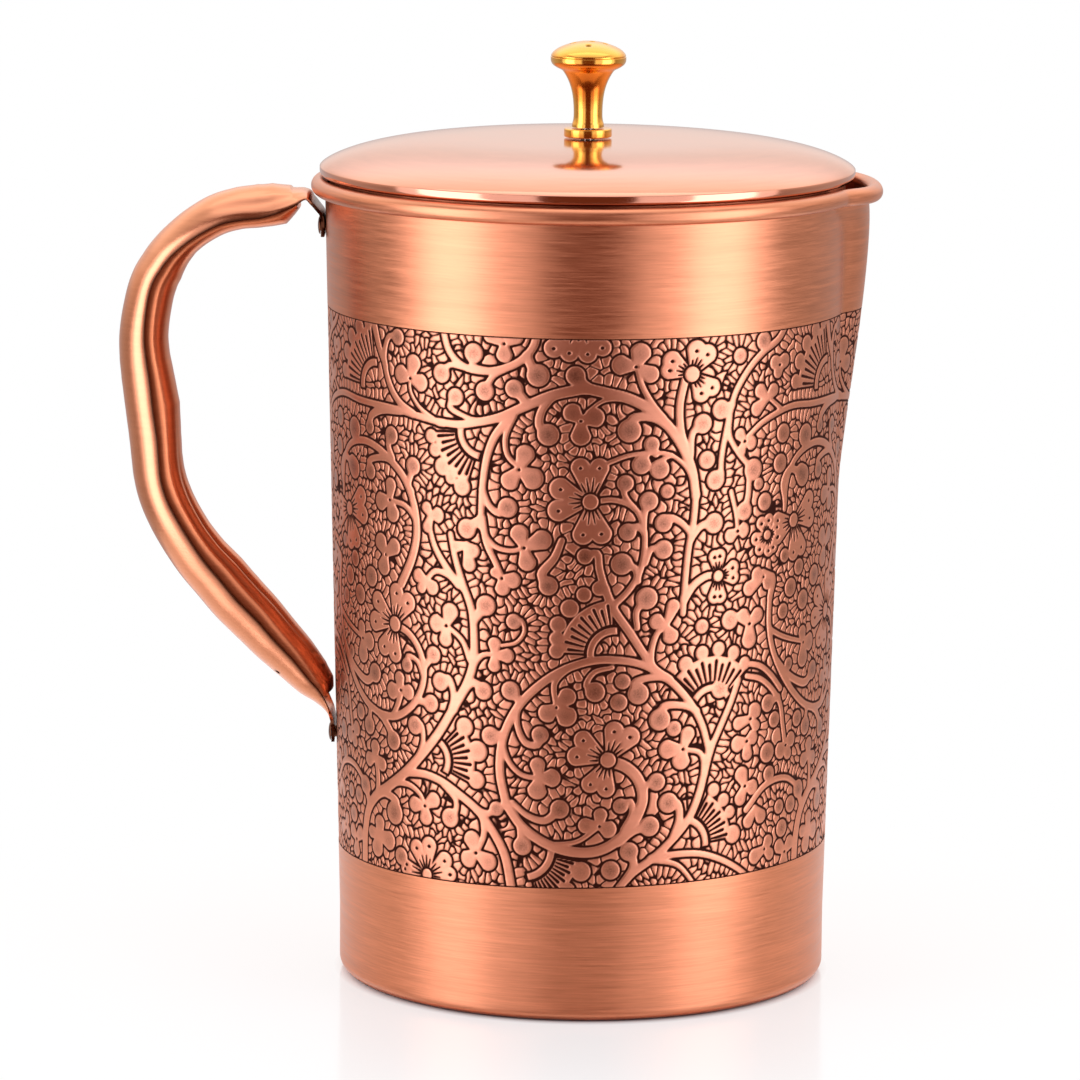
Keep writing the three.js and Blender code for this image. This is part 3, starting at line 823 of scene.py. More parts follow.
# One repeat of its drawing, in millimetres across the unrolled band and up from the floor
# Stems and curls: half width at each end, radius of the head or 0, and places along it
STEMS = (
    (0.8, 1, 0, ((-87.8, 141), (-84, 143.7), (-79, 145.7), (-73, 146.9), (-64, 146.4), (-50, 146),
        (-40, 144.8), (-35, 144.1))),
    (1, 1.5, 0, ((-36, 144.2), (-30, 144.2), (-25, 145.2), (-20, 146.6), (-15, 149), (-8, 152.2),
        (0, 154.2))),
    (1.5, 1.3, 0, ((0, 154.2), (5, 153), (10, 151.7), (15, 149), (20, 144.3), (23.5, 139),
        (25.7, 134), (26.8, 128))),
    (1, 0.9, 0, ((26.8, 128), (26.4, 122), (25.2, 115), (24.5, 107), (24.1, 99.5))),
    (1.1, 0.8, 2, ((-44, 145.6), (-48, 147.7), (-51, 151), (-53, 156), (-53, 160), (-51.3, 163.3),
        (-48.4, 163.4))),
    (0.9, 1.3, 0, ((-52.8, 156), (-55, 160), (-57.5, 167))),
    (0.7, 0.5, 0, ((-38, 145), (-42, 147.5), (-44.5, 151), (-44.6, 154))),
    (1, 1.1, 0, ((-35, 168), (-33, 161.5), (-29.5, 158.3), (-25, 157.4), (-20, 158), (-15, 160.4),
        (-12, 164), (-11.2, 168))),
    (0.7, 0.9, 2.3, ((-30, 158), (-33, 158.2), (-35.2, 156))),
    (1.2, 1.4, 2.7, ((-13.5, 161.5), (-12.5, 159), (-11, 157))),
    (0.6, 0.9, 2.4, ((-23.5, 157.7), (-27, 158.8), (-26.6, 161.5))),
    (0.6, 1.1, 2.3, ((-19, 158), (-22, 156), (-23.8, 152.6))),
    (0.5, 1, 2.1, ((-24, 145.2), (-29, 146.2), (-33, 148.3), (-31.4, 150.7))),
    (1.2, 1.4, 2.2, ((-13.5, 150.2), (-16.6, 153.6))),
    (1.2, 0.9, 0, ((-17, 147), (-21, 142.5), (-23, 138), (-24.2, 132), (-24.8, 124), (-24.8, 120))),
    (1.1, 0.8, 0, ((-24.6, 122), (-23.4, 116), (-21.2, 111.5), (-19.6, 108.2))),
    (0.8, 0.6, 0, ((-23.6, 117.5), (-21, 115.3), (-17, 114.7), (-14.2, 115.6))),
    (1.3, 1.5, 2.4, ((-25.2, 121.5), (-28.6, 119.2))),
    (0.8, 1.2, 0, ((-39.3, 119.5), (-37.5, 114), (-34, 109), (-31, 105.5))),
    (0.9, 1.4, 0, ((-33, 117.5), (-31.8, 112), (-29.8, 106), (-27.4, 99.5), (-26.8, 93), (-27, 87),
        (-28.8, 81.5), (-32.5, 75.2))),
    (1.3, 1.6, 0, ((-32.5, 75.2), (-37, 68.5), (-42.5, 62.3), (-48, 57.2), (-54, 53), (-59, 50),
        (-63, 46), (-65, 40), (-65.6, 31))),
    (1.2, 1.4, 2.5, ((-26.6, 97.5), (-23.7, 101))),
    (0.9, 0.6, 0, ((-26.8, 86.8), (-24.4, 89), (-21.4, 89.3))),
    (0.9, 1.3, 2.2, ((-30, 79.5), (-26.8, 82), (-24.4, 80.2))),
    (1, 1.3, 0, ((21, 83.8), (14, 87.6), (8, 88.8), (2, 88.6), (-5, 86.2), (-11, 82), (-16, 76.4),
        (-19.4, 69), (-20.2, 61), (-18.6, 53))),
    (1.3, 1.6, 0, ((-18.6, 53), (-14.6, 47.8), (-9, 44), (-2, 42), (4, 42.3), (9, 45), (13, 49.8),
        (14.8, 55), (13.6, 59.6), (10.6, 62.7), (6.5, 64.3))),
    (0.7, 1, 2.2, ((14.6, 54), (15.6, 58), (18.2, 58.8))),
    (1, 1.3, 2.5, ((9, 44.2), (13, 47.2), (16.6, 48))),
    (0.9, 0.8, 1.9, ((10.2, 47.5), (12.2, 51.5), (11.8, 54.3), (9.4, 53.2))),
    (0.9, 1.3, 2.3, ((11, 35.2), (12.8, 39), (11.6, 42))),
    (1.1, 1.2, 0, ((7.6, 31), (12, 36.2), (18, 40.4), (22.5, 44.4), (26.8, 49.3), (29.4, 55),
        (31, 61), (32.4, 66.4))),
    (1.2, 1.1, 2.5, ((23, 45.4), (24.3, 49.6), (23.6, 53.2), (21.3, 53.5))),
    (1, 1.2, 0, ((32, 65), (30, 71.6), (26.8, 77.2), (22, 82.6), (17.6, 86), (14.6, 90),
        (11, 95.5), (7.2, 101), (5, 106))),
    (1, 1, 0, ((32.2, 65.5), (35, 71), (38, 77), (40, 82))),
    (1.1, 1, 1.9, ((5, 106), (3.6, 111), (3, 114.6), (0.2, 113.9))),
    (0.9, 1.1, 2.6, ((20, 84.3), (15, 84.2), (12.2, 83), (13.3, 80.5))),
    (0.9, 0.8, 0, ((16.2, 87.6), (16.6, 92), (18, 95.4), (20, 96.6))),
    (0.8, 1, 2.7, ((12.8, 96.5), (12.6, 100.6), (15, 103.6))),
    (0.9, 0.7, 0, ((6.6, 101.6), (10.6, 105.6), (13.2, 110), (14.3, 116), (13.8, 121.5),
        (11.6, 125.5), (7, 127.4), (2, 127))),
    (0.6, 0.9, 2, ((11.5, 125.6), (9.2, 129), (9.5, 131.4))),
    (0.8, 1.1, 2.3, ((14, 121.5), (14.2, 124.6), (15.1, 127))),
    (0.7, 1.2, 2.1, ((14, 119.5), (12.4, 121), (10.2, 119.7))),
    (0.8, 1.1, 2.6, ((12.9, 107.8), (11.9, 111), (8.9, 112))),
    (0.8, 1.1, 2.2, ((25.8, 118.6), (23.3, 121.4), (20.2, 122.8), (18.8, 121.6))),
    (0.8, 1.3, 2.5, ((26, 117.5), (28.4, 120.4), (31.8, 120.8))),
    (0.7, 1, 2.3, ((14.6, 112), (16, 115.5), (18.9, 115.2))),
    (1.2, 1, 0, ((24.4, 103), (27, 106.4), (30.5, 108.2), (33.3, 107.8))),
    (1.1, 1.1, 0, ((24, 139), (22.6, 144), (22.3, 150), (23.4, 155.5))),
    (0.9, 0.7, 0, ((18, 147), (15, 151.2), (13, 155), (11.8, 159.4))),
    (0.9, 1.4, 2.8, ((19.4, 145), (15, 147.1), (11, 146.8), (10.3, 144))),
    (0.8, 1.1, 2.4, ((25.4, 137.6), (25.7, 143), (28.2, 145))),
    (0.6, 0.6, 0, ((26.2, 131.5), (23.6, 135.4), (20, 138), (15.6, 138.6), (10, 138),
        (5.6, 136.4))),
    (0.5, 0.9, 2.4, ((20.4, 137.8), (18, 136.6), (17.6, 134.6))),
    (0.5, 0.9, 2.3, ((15, 138.6), (13.2, 135.8))), (0.9, 1.2, 1.9, ((16.6, 138.2), (15.6, 140.6))),
    (0.9, 1, 0, ((33.4, 131), (33.4, 136), (34.4, 142), (35.6, 147.4), (37, 152), (41, 157.6),
        (45, 161), (50, 163.8), (53, 167.5))),
    (0.8, 0.9, 2.7, ((35.4, 146), (35.6, 141.4), (38.6, 136.8), (42.8, 132.8))),
    (1, 1.3, 2.4, ((36, 149), (33, 148.1))), (1, 1.2, 2.4, ((33.4, 132.6), (31.9, 131.2))),
    (0.8, 1.2, 0, ((-74.8, 122), (-74.4, 128), (-72.5, 132.4), (-68.5, 135.4), (-62, 136.7),
        (-56, 135.6), (-51.5, 133.3), (-47.5, 130.3), (-44.8, 126.6))),
    (1.2, 1.4, 0, ((-44.8, 126.6), (-43.3, 121.6), (-43, 116), (-44.4, 110.8), (-46.4, 106.8),
        (-48.2, 103.8))),
    (0.9, 0.9, 2, ((-52, 133.6), (-56.6, 133.3), (-60.3, 131.8), (-59.6, 129.6))),
    (0.8, 1.2, 2.2, ((-50.6, 134), (-52.3, 137), (-51.1, 139.4))),
    (0.9, 1.2, 2.2, ((-45.6, 128), (-43.9, 132.8))),
    (0.9, 0.7, 0, ((-43.6, 120.5), (-46.6, 122.9), (-52, 123.6))),
    (1, 1.2, 1.7, ((-48, 145.6), (-55, 145), (-59, 143), (-59.6, 140.4))),
    (0.9, 1.1, 0, ((-78.5, 106), (-79.3, 100), (-79.2, 94), (-77.6, 88), (-74, 82), (-69, 76.6),
        (-63, 72.4), (-57, 70.4))),
    (1.1, 1, 0, ((-57, 70.4), (-51, 70.8), (-46, 73.5), (-43, 76.8), (-41.3, 81), (-41.3, 85),
        (-43, 89), (-46, 91.9), (-50.7, 93.5))),
    (0.8, 0.6, 0, ((-78.6, 93), (-75, 91.2), (-71, 89.8), (-65, 88.2))),
    (0.9, 1.3, 2.4, ((-75.6, 84.8), (-72, 81.6), (-67.5, 79), (-62.5, 77.8), (-59, 80.2))),
    (0.7, 1.2, 0, ((-52, 71), (-50, 74), (-48.8, 77.6))),
    (0.7, 0.8, 1.8, ((-41.6, 82.5), (-43.4, 85.6), (-46.4, 86.2), (-46.6, 84))),
    (0.8, 1.2, 2.1, ((-41.2, 84), (-38.2, 87.6))), (0.9, 1.2, 2.2, ((-43.6, 75.8), (-39.1, 75.6))),
    (0.9, 1.2, 2.3, ((-33, 74.6), (-32.5, 79), (-34, 82.3), (-36.2, 81.3))),
    (0.9, 0.7, 0, ((-28, 87.6), (-30, 92), (-34.3, 95.2))),
    (0.9, 0.8, 0, ((-29.6, 104.6), (-33.6, 107.4), (-37.4, 108.1), (-40.2, 105.6))),
    (1.1, 1.3, 0, ((-46.8, 57.6), (-41, 57.9), (-36, 56.8), (-31, 54.2), (-26, 50.8), (-22, 46),
        (-19, 40.5), (-17, 31))),
    (0.7, 1, 2.4, ((-35.6, 56), (-32, 52.6), (-32.2, 49.8), (-33.7, 48.2))),
    (0.8, 1, 1.8, ((-26.4, 51), (-23, 50.4), (-21.1, 51.7))),
    (1, 0.8, 0, ((-24.6, 49.5), (-24.4, 45), (-26.4, 40.4))),
    (0.9, 0.7, 0, ((-51, 54.6), (-46, 54.5), (-42.6, 52.6), (-41.4, 50.3))),
    (0.9, 1.3, 2.9, ((-60, 49.6), (-55.6, 51), (-51, 49.6), (-51.8, 46.8))),
    (1, 0.9, 0, ((-58.6, 50.6), (-58.4, 55), (-59.4, 59.4))),
    (1, 1.3, 2.3, ((-62.4, 46.6), (-64.6, 51.6))), (0.8, 1.1, 2.3, ((-61.5, 71.4), (-62, 66.8))),
    (1, 1.4, 2.4, ((-56.6, 70.2), (-53.6, 67.6), (-51.8, 64.7))),
    (0.7, 1, 2.3, ((-43.4, 61.6), (-41.6, 66.6), (-42.3, 69.9), (-44.2, 69.6))),
    (1.3, 1.5, 2.3, ((-19.8, 69.6), (-22.6, 69.4))),
    (1.1, 1.4, 2.3, ((-15.4, 78.6), (-17.5, 80.8))),
    (0.9, 1.3, 2.6, ((-7.2, 152.4), (-10.2, 148.4), (-10.6, 145), (-8.6, 142.9))),
    (0.6, 0.5, 0, ((8, 151.8), (4, 151.1), (0.5, 148.5))),
    (1.4, 1.5, 2.3, ((0.2, 154.2), (-2.3, 157.1))),
    (0.8, 0.7, 0, ((-17.2, 146), (-18.8, 141.6), (-18.2, 137.5), (-15.2, 134.6))),
    (0.8, 1.1, 2.4, ((-24.5, 129), (-22.6, 125), (-20.2, 123.6), (-18.2, 125))),
    (0.9, 1.4, 2.3, ((-5.3, 117.6), (-7, 113.4), (-10, 109.2), (-8.4, 106.6))),
    (0.5, 0.6, 1.9, ((-19.6, 91.6), (-16, 92.6), (-14.1, 95.4), (-14.8, 98), (-16.7, 97.6))),
    (0.9, 0.7, 0, ((-4, 86.6), (-6.8, 83), (-6.4, 77.4))),
    (0.6, 0.9, 2.4, ((7, 87), (2.6, 85.8), (0.8, 82.6), (2.9, 81.1))),
    (0.7, 1.1, 2.1, ((-15.8, 77), (-15.7, 72), (-13.6, 68.2), (-10.8, 68), (-10.2, 70.4))),
    (0.8, 0.7, 0, ((-19.6, 67.5), (-17.6, 63), (-14.6, 60.4), (-10.4, 59.8))),
    (0.7, 1.2, 2.3, ((-17, 53.6), (-13.4, 50.6), (-9, 49.5), (-5.4, 52.4))),
    (1, 1.3, 2.3, ((-15, 47), (-14.5, 43))), (0.6, 0.7, 0, ((-6, 43.8), (-1, 44.6), (4.3, 48.4))),
    (0.8, 1.3, 2.7, ((28.4, 75.6), (24, 77.2), (19.6, 77), (18.7, 74))),
    (0.9, 0.7, 0, ((30.8, 60), (29.6, 65), (24.6, 66.4))),
    (1, 0.8, 0, ((17, 40), (23, 40.7), (30, 40.3), (36, 38.3), (41, 35.6), (46, 32))),
    (0.8, 0.6, 0, ((18, 39.6), (24, 38), (29, 32.5))),
    (0.8, 0.9, 0, ((41.6, 85.8), (46.8, 84.6), (50.6, 82), (54.6, 78))),
    (0.8, 0.9, 0, ((42.6, 82.6), (47, 81.4), (51, 78.6), (54.6, 74.4), (56, 69), (57.2, 64))),
    (0.8, 1.2, 2.2, ((54, 76), (50, 75))),
    (0.8, 1, 0, ((66, 50.8), (58, 55.4), (50, 54.8), (43.6, 49.6))),
    (0.8, 0.7, 0, ((36.4, 128), (38, 122.4), (38.6, 118))),
    (0.9, 1, 0, ((49.6, 101), (50.6, 105.4), (47, 107.4))),
    (0.7, 0.6, 0, ((51, 147), (47.6, 149.4))), (0.9, 1.1, 2.4, ((40.4, 98), (37, 96.9))),
    (0.9, 1.1, 2.3, ((41.6, 131), (41.4, 126.5), (40.4, 123))),
    (0.8, 1.1, 2.4, ((54, 124), (53, 128.5), (55.4, 131.5), (60.3, 130))),
    (1, 1.2, 2.4, ((33.4, 80.8), (34.6, 80.4))),
)
# Sprays of lobes: middle, core, lobes of (across, up, radius), and 1 for a dot
SPRAYS = (
    (-44.5, 154, 0.9, ((-43.4, 157.6, 2.2), (-47.2, 154.6, 2.3), (-41.4, 153.2, 2.2)), 1),
    (-19, 164.3, 0.9, ((-19, 161.7, 2), (-22.2, 166, 1.9), (-16.3, 166, 1.9)), 1),
    (-14.2, 115.6, 0.9, ((-15.3, 118.8, 2.3), (-10, 117.6, 2.4), (-13.5, 112.2, 2.2)), 1),
    (-19.6, 108, 0.8, ((-19.5, 105.6, 1.9), (-17, 107.6, 2), (-21.4, 109.2, 1.2)), 1),
    (-28.6, 115.2, 0.9, ((-27, 114, 1.8), (-28, 110.6, 1.8), (-31.6, 114.6, 1.4)), 0),
    (-38.6, 121.4, 0.8, ((-39.8, 123.2, 1.5), (-36.8, 121.7, 2), (-39.6, 118.6, 1.5)), 0),
    (-21.4, 89.2, 0.8, ((-21.5, 91.8, 1.7), (-18.4, 89.2, 1.8), (-21.6, 86.6, 1.6)), 0),
    (-52, 123.7, 0.9, ((-51.6, 127.2, 1.9), (-55.2, 122.9, 2.3), (-51, 120.6, 2.3)), 1),
    (-53.8, 110.2, 0.9, ((-55.6, 112.8, 2.3), (-50.6, 112.4, 2.1), (-54.6, 107.2, 2.3)), 1),
    (-64.6, 88, 0.9, ((-65.2, 90.4, 1.8), (-61.6, 87.6, 2.3), (-64.6, 84.2, 2.4)), 1),
    (-48.9, 77.6, 0.9, ((-49.3, 80.4, 1.7), (-51.8, 77, 2.2), (-46.4, 77.4, 2)), 1),
    (-34.4, 95.2, 0.9, ((-33.3, 98.5, 2.3), (-37, 95.4, 2.3), (-34.6, 91.9, 1.9)), 1),
    (-40.4, 105.6, 0.9, ((-42.4, 106.4, 1.8), (-41.6, 103.6, 1.4), (-38.4, 104, 1.9)), 0),
    (-26.5, 40.4, 0.9, ((-27.6, 43.5, 2.2), (-28.4, 38.8, 2.3), (-23.4, 38.5, 2.3)), 1),
    (-41.3, 50.2, 0.9, ((-44.4, 50.1, 2), (-38.6, 51.9, 2), (-41, 47.4, 2)), 1),
    (-59.5, 59.3, 0.9, ((-59.5, 61.6, 2), (-62.2, 58.4, 1.9), (-56.6, 58, 1.8)), 0),
    (-58, 40.2, 1.2, ((-58, 43.2, 2), (-54.2, 39.5, 2.4), (-59.2, 37, 2.4), (-61.6, 40.4, 1.6)), 0),
    (-1, 146.4, 0.9, ((-2.9, 148.2, 2.3), (2.1, 147.2, 2.4), (-1, 142.9, 2.4)), 1),
    (-15.4, 134.4, 0.9, ((-17.6, 131.6, 2.3), (-12.3, 132.4, 2.7), (-14, 138, 2.3)), 1),
    (-6.3, 77.3, 0.9, ((-8.4, 75.8, 2.3), (-3.8, 79.8, 2.2), (-4, 75.2, 2.6)), 1),
    (-10.4, 59.8, 0.9, ((-10.8, 63, 1.9), (-7.5, 60, 2.3), (-10.9, 57, 2.4)), 0),
    (4.3, 48.4, 0.9, ((4.5, 51.1, 1.7), (1, 48.5, 1.9), (6.3, 47.6, 2.2)), 1),
    (11.6, 159.3, 0.9, ((12.6, 162.4, 2.5), (8.3, 159.7, 2.4), (15, 157.4, 2.1)), 1),
    (19.8, 96.8, 0.7, ((17.7, 97.8, 2), (21, 94.4, 2.1), (21.6, 101.4, 1.7)), 0),
    (24.8, 66.5, 0.9, ((21, 66.6, 2.4), (26, 70, 1.9), (24.4, 63.8, 2.4)), 1),
    (46.6, 149.6, 0.8, ((44.4, 151.6, 1.8), (48.6, 151.4, 1.7), (43.4, 147.4, 1.8)), 0),
    (47.2, 106.4, 0.8, ((45.2, 107, 2), (48.6, 104.8, 1.8), (42.6, 104, 1.9)), 1),
    (43, 95.4, 1.1, ((41, 97.4, 1.9), (45.4, 97.2, 1.9), (43, 91.6, 2.3)), 1),
    (44.2, 72, 0.9, ((45.4, 73.6, 2.2), (40.4, 71.2, 1.7), (46, 70, 1.4)), 1),
    (43.2, 66.6, 0.9, ((40.4, 66.2, 2.1), (44.8, 67.2, 1.9), (43.4, 63.4, 1.7)), 1),
    (43, 55.6, 0.9, ((41.8, 58.4, 2.1), (45.2, 55, 2), (41.6, 52.6, 1.8)), 1),
    (57.6, 63.6, 0.9, ((59.6, 64.6, 2), (55.6, 62.6, 2.2), (58.6, 61.4, 1.6)), 1),
    (46.6, 49.6, 0.8, ((48.6, 47.4, 1.9), (44.4, 46.6, 1.7)), 0),
    (50.4, 39, 0.9, ((51.6, 40.6, 1.7), (47, 37.6, 2), (52.4, 37.4, 1.6)), 1),
    (38.6, 118.4, 0.8, ((40, 118.4, 2), (36.6, 117.4, 1.8)), 1),
    (40, 140, 0.8, ((38.6, 141.6, 1.6), (41.8, 139.4, 1.8), (39, 137.6, 1.4)), 1),
    (50.6, 157.4, 1.6, ((49, 158, 1.8), (52.2, 158.2, 1.8), (50, 155.6, 1.5)), 1),
    (58.6, 37, 0.9, ((56.2, 38.6, 1.9), (60.8, 38.8, 1.9), (58.4, 34.4, 2)), 1),
)
# Buds on their own
BUDS = (
    (29.5, 136.2, 2.2), (-67, 139, 2.8), (-67.6, 129.3, 2.7), (-60, 103.8, 2.5), (-65.6, 98.6, 2.4),
    (7.1, 37.5, 2.3), (-49.5, 36.4, 2.2), (9.5, 83.6, 1.9), (8.6, 78.5, 2.1), (22.4, 71.6, 1.9),
    (51.8, 133.4, 2.3), (46.8, 124.6, 2.2), (52.6, 140.6, 2.3), (50.3, 62.8, 2.5), (51.2, 57.4, 2),
    (60.6, 48.4, 2.1), (52.6, 70.6, 2), (62.4, 69.4, 2), (57, 43, 2.2), (29.2, 96, 1.8),
    (45, 163.6, 2.2), (38, 160.6, 1.9), (55.6, 48.6, 1.8), (57.4, 102.4, 2.3), (54.6, 97, 1.9),
    (44.6, 129.2, 1.5), (57.6, 83.6, 1.6), (54.6, 110.6, 1.7), (60.8, 107, 2), (19.6, 129.2, 1.7),
)
# Flowers: middle, its radius, and the pair of lobes of each heart-shaped petal
FLOWERS = (
    (1.4, 127, 1.9, (((-1, 135.2, 2.3), (3.4, 135.2, 2.3)), ((-5.6, 130, 2.7), (-6.1, 124.8, 2.6)),
        ((-0.3, 119.2, 2.5), (4, 119.4, 2.5)))),
    (6.2, 64.5, 1.9, (((7.6, 71.5, 2.4), (11.4, 70.1, 2.5)), ((0.2, 69.4, 2.3), (-1.3, 65.4, 2.4)),
        ((2, 58.7, 2.2), (5.8, 57.6, 2.2)))),
    (-50.7, 93.5, 1.9, (((-50, 101.2, 2.4), (-46.2, 99.3, 2.5)), ((-57.2, 98.2, 2.4),
        (-58.4, 93.1, 2.5)), ((-54.9, 87.5, 2.4), (-50.8, 86.3, 2.3)))),
    (-71, 118.8, 1.7, (((-64.3, 122.8, 2.4), (-63.6, 118.4, 2.4)), ((-67.2, 111.8, 2.2),
        (-70.6, 111, 2.2)), ((-77, 115.6, 2), (-77.2, 119.6, 2)))),
    (-1.6, 170.5, 1.6, (((-7.4, 163.6, 2.3), (-3.8, 162.6, 2.2)), ((0.4, 162.4, 2.2),
        (3.8, 163.9, 2.1)))),
    (-40.8, 33.2, 1.5, (((-44.1, 39.4, 2.1), (-40.1, 40.4, 2.3)), ((-35.4, 37.4, 2.2),
        (-33.8, 34.2, 1.8)), ((-48.2, 33.6, 1.4), (-47.6, 34.8, 1.2)))),
    (25.2, 157, 1.9, (((26.2, 162.6, 2.5), (29, 161.6, 2.4)), ((20.2, 160.4, 2.4),
        (19.6, 158.2, 2.2)), ((27.6, 152.4, 2.3), (30.4, 153.6, 2.2)))),
    (33.3, 107.9, 1.4, (((32.2, 112.6, 1.7), (33.6, 112.8, 1.7)), ((37.4, 109.6, 1.8),
        (37.6, 107.2, 1.7)), ((32.4, 103, 1.8), (34, 103, 1.8)))),
    (48, 116.4, 1.2, (((46, 119.4, 1.7), (48.4, 120, 1.6)), ((51.4, 118, 1.7), (51.6, 115.4, 1.6)),
        ((44.4, 115.8, 1.7), (45.6, 113.2, 1.6)), ((48.6, 112.6, 1.6), (50.2, 113.2, 1.5)))),
)
# Fans: pivot, radius of the arch, first and last angle, rays, scallops of (angle, reach, radius)
FANS = (
    (-56.4, 150.4, 6, 98, 178, 10, ((102, 15.4, 1.6), (118, 15.6, 2), (136, 15.8, 2),
        (154, 15.8, 2), (172, 15.8, 1.8))),
    (-39.4, 62, 5.2, -22, 46, 8, ((-16, 13.6, 2.2), (14, 13.8, 2.6), (42, 13.4, 2.3))),
    (-24.4, 142.6, 5.7, 184, 252, 8, ((188, 14, 1.7), (202, 13.8, 1.7), (220, 14, 2.2),
        (234, 14.2, 1.6), (248, 14.4, 2.2))),
    (7.4, 90.2, 5.7, 94, 178, 10, ((103, 16.4, 1.8), (117, 16.2, 1.8), (134, 15.4, 2.2),
        (152, 15.2, 2), (165, 14.2, 1.8), (177, 13.8, 1.8))),
    (-14.4, 42.4, 7, -72, -12, 11, ((-62, 14.6, 1.8), (-42, 14.8, 2), (-20, 15.2, 2.4))),
    (25, 42.6, 6.5, 4, 60, 8, ((6, 14.6, 2.3), (28, 15.2, 1.6), (42, 15.4, 1.7), (57, 15.6, 1.7))),
    (32.4, 75.4, 5.4, 42, 138, 10, ((48, 14, 1.7), (66, 14.6, 1.8), (84, 14.8, 1.8),
        (102, 14.4, 1.8), (122, 13.8, 1.9))),
)
# The grid that a repeat is drawn on, and its spacing in millimetres
REPEATS, COLUMNS, ROWS, PANELS, BACK_ROWS = 3, 504, 500, 9, 24
ROLL_RADIUS = 61.5
REPEAT = TURN * ROLL_RADIUS / REPEATS
ACROSS = (np.arange(COLUMNS) / COLUMNS - 0.5) * REPEAT
UP = np.linspace(31.5, 166.0, ROWS)
STEP, RISE = REPEAT / COLUMNS, UP[1] - UP[0]
# Widths of the outline round a raised shape, a soft edge and a cut's edge; FAR means no shape near
GUTTER, SOFT_WIDTH, CUT_WIDTH, FAR = 0.5, 0.2, 0.34, 9.0
# The filling's cells: pitch and scatter of their seeds, length, width, reach and rounds of settling
CELL_PITCH, CELL_SCATTER = (1.75, 2.3), 0.3
CELL_LENGTH, CELL_WIDTH, CELL_REACH, CELL_ROUNDS = 1.55, 0.74, 3.8, 5
# Half the gap between cells, its soft edge, and how far cells and raised shapes are rounded
HALF_GAP, GAP_EDGE, CELL_ROUNDING, LAND_ROUNDING = 0.18, 0.30, 0.55, 0.7
# A fan's stem: half width; its blade: start past the stem, end before the scallops' middles
FAN_STEM, BLADE_START, BLADE_END = 0.85, 1.55, 0.7
# Depths in millimetres: cuts, filling, its rounded cells, and the rounded edges of raised shapes
CUT_DEPTH, FILLING_DEPTH, CELL_DEPTH, EDGE_DEPTH = 0.19, 0.03, 0.05, 0.045
# Groove depth that those depths are given for, and the slab's clearance over the recess
DRAWN_DEPTH, SLAB_CLEARANCE = 0.00022, 0.00003
# Shares of the texture's height where the front starts, and where the back and the sides end
FRONT_V, BACK_V, SIDE_V = 0.06, 0.04, 0.045


def spans(line):
    """Distances between a line's places."""
    return np.linalg.norm(np.diff(line, axis=0), axis=1)


def smooth_line(points, step=0.8):
    """A smooth line through points, and each place's share of the way."""
    knots = np.array(points, float)
    counts = np.maximum(spans(knots) / step, 1).astype(int)
    at = np.concatenate([i + np.arange(n) / n for i, n in enumerate(counts)] + [[len(knots) - 1]])
    line = smooth_curve(knots, at)[0]
    run = np.concatenate([[0], np.cumsum(spans(line))])
    return line, run / run[-1]


def along(across, up, du, dv):
    """Share of the way along a straight line from the origin, and the distance from it."""
    t = np.clip((across * du + up * dv) / max(du * du + dv * dv, 1e-9), 0, 1)
    return t, np.hypot(across - t * du, up - t * dv)


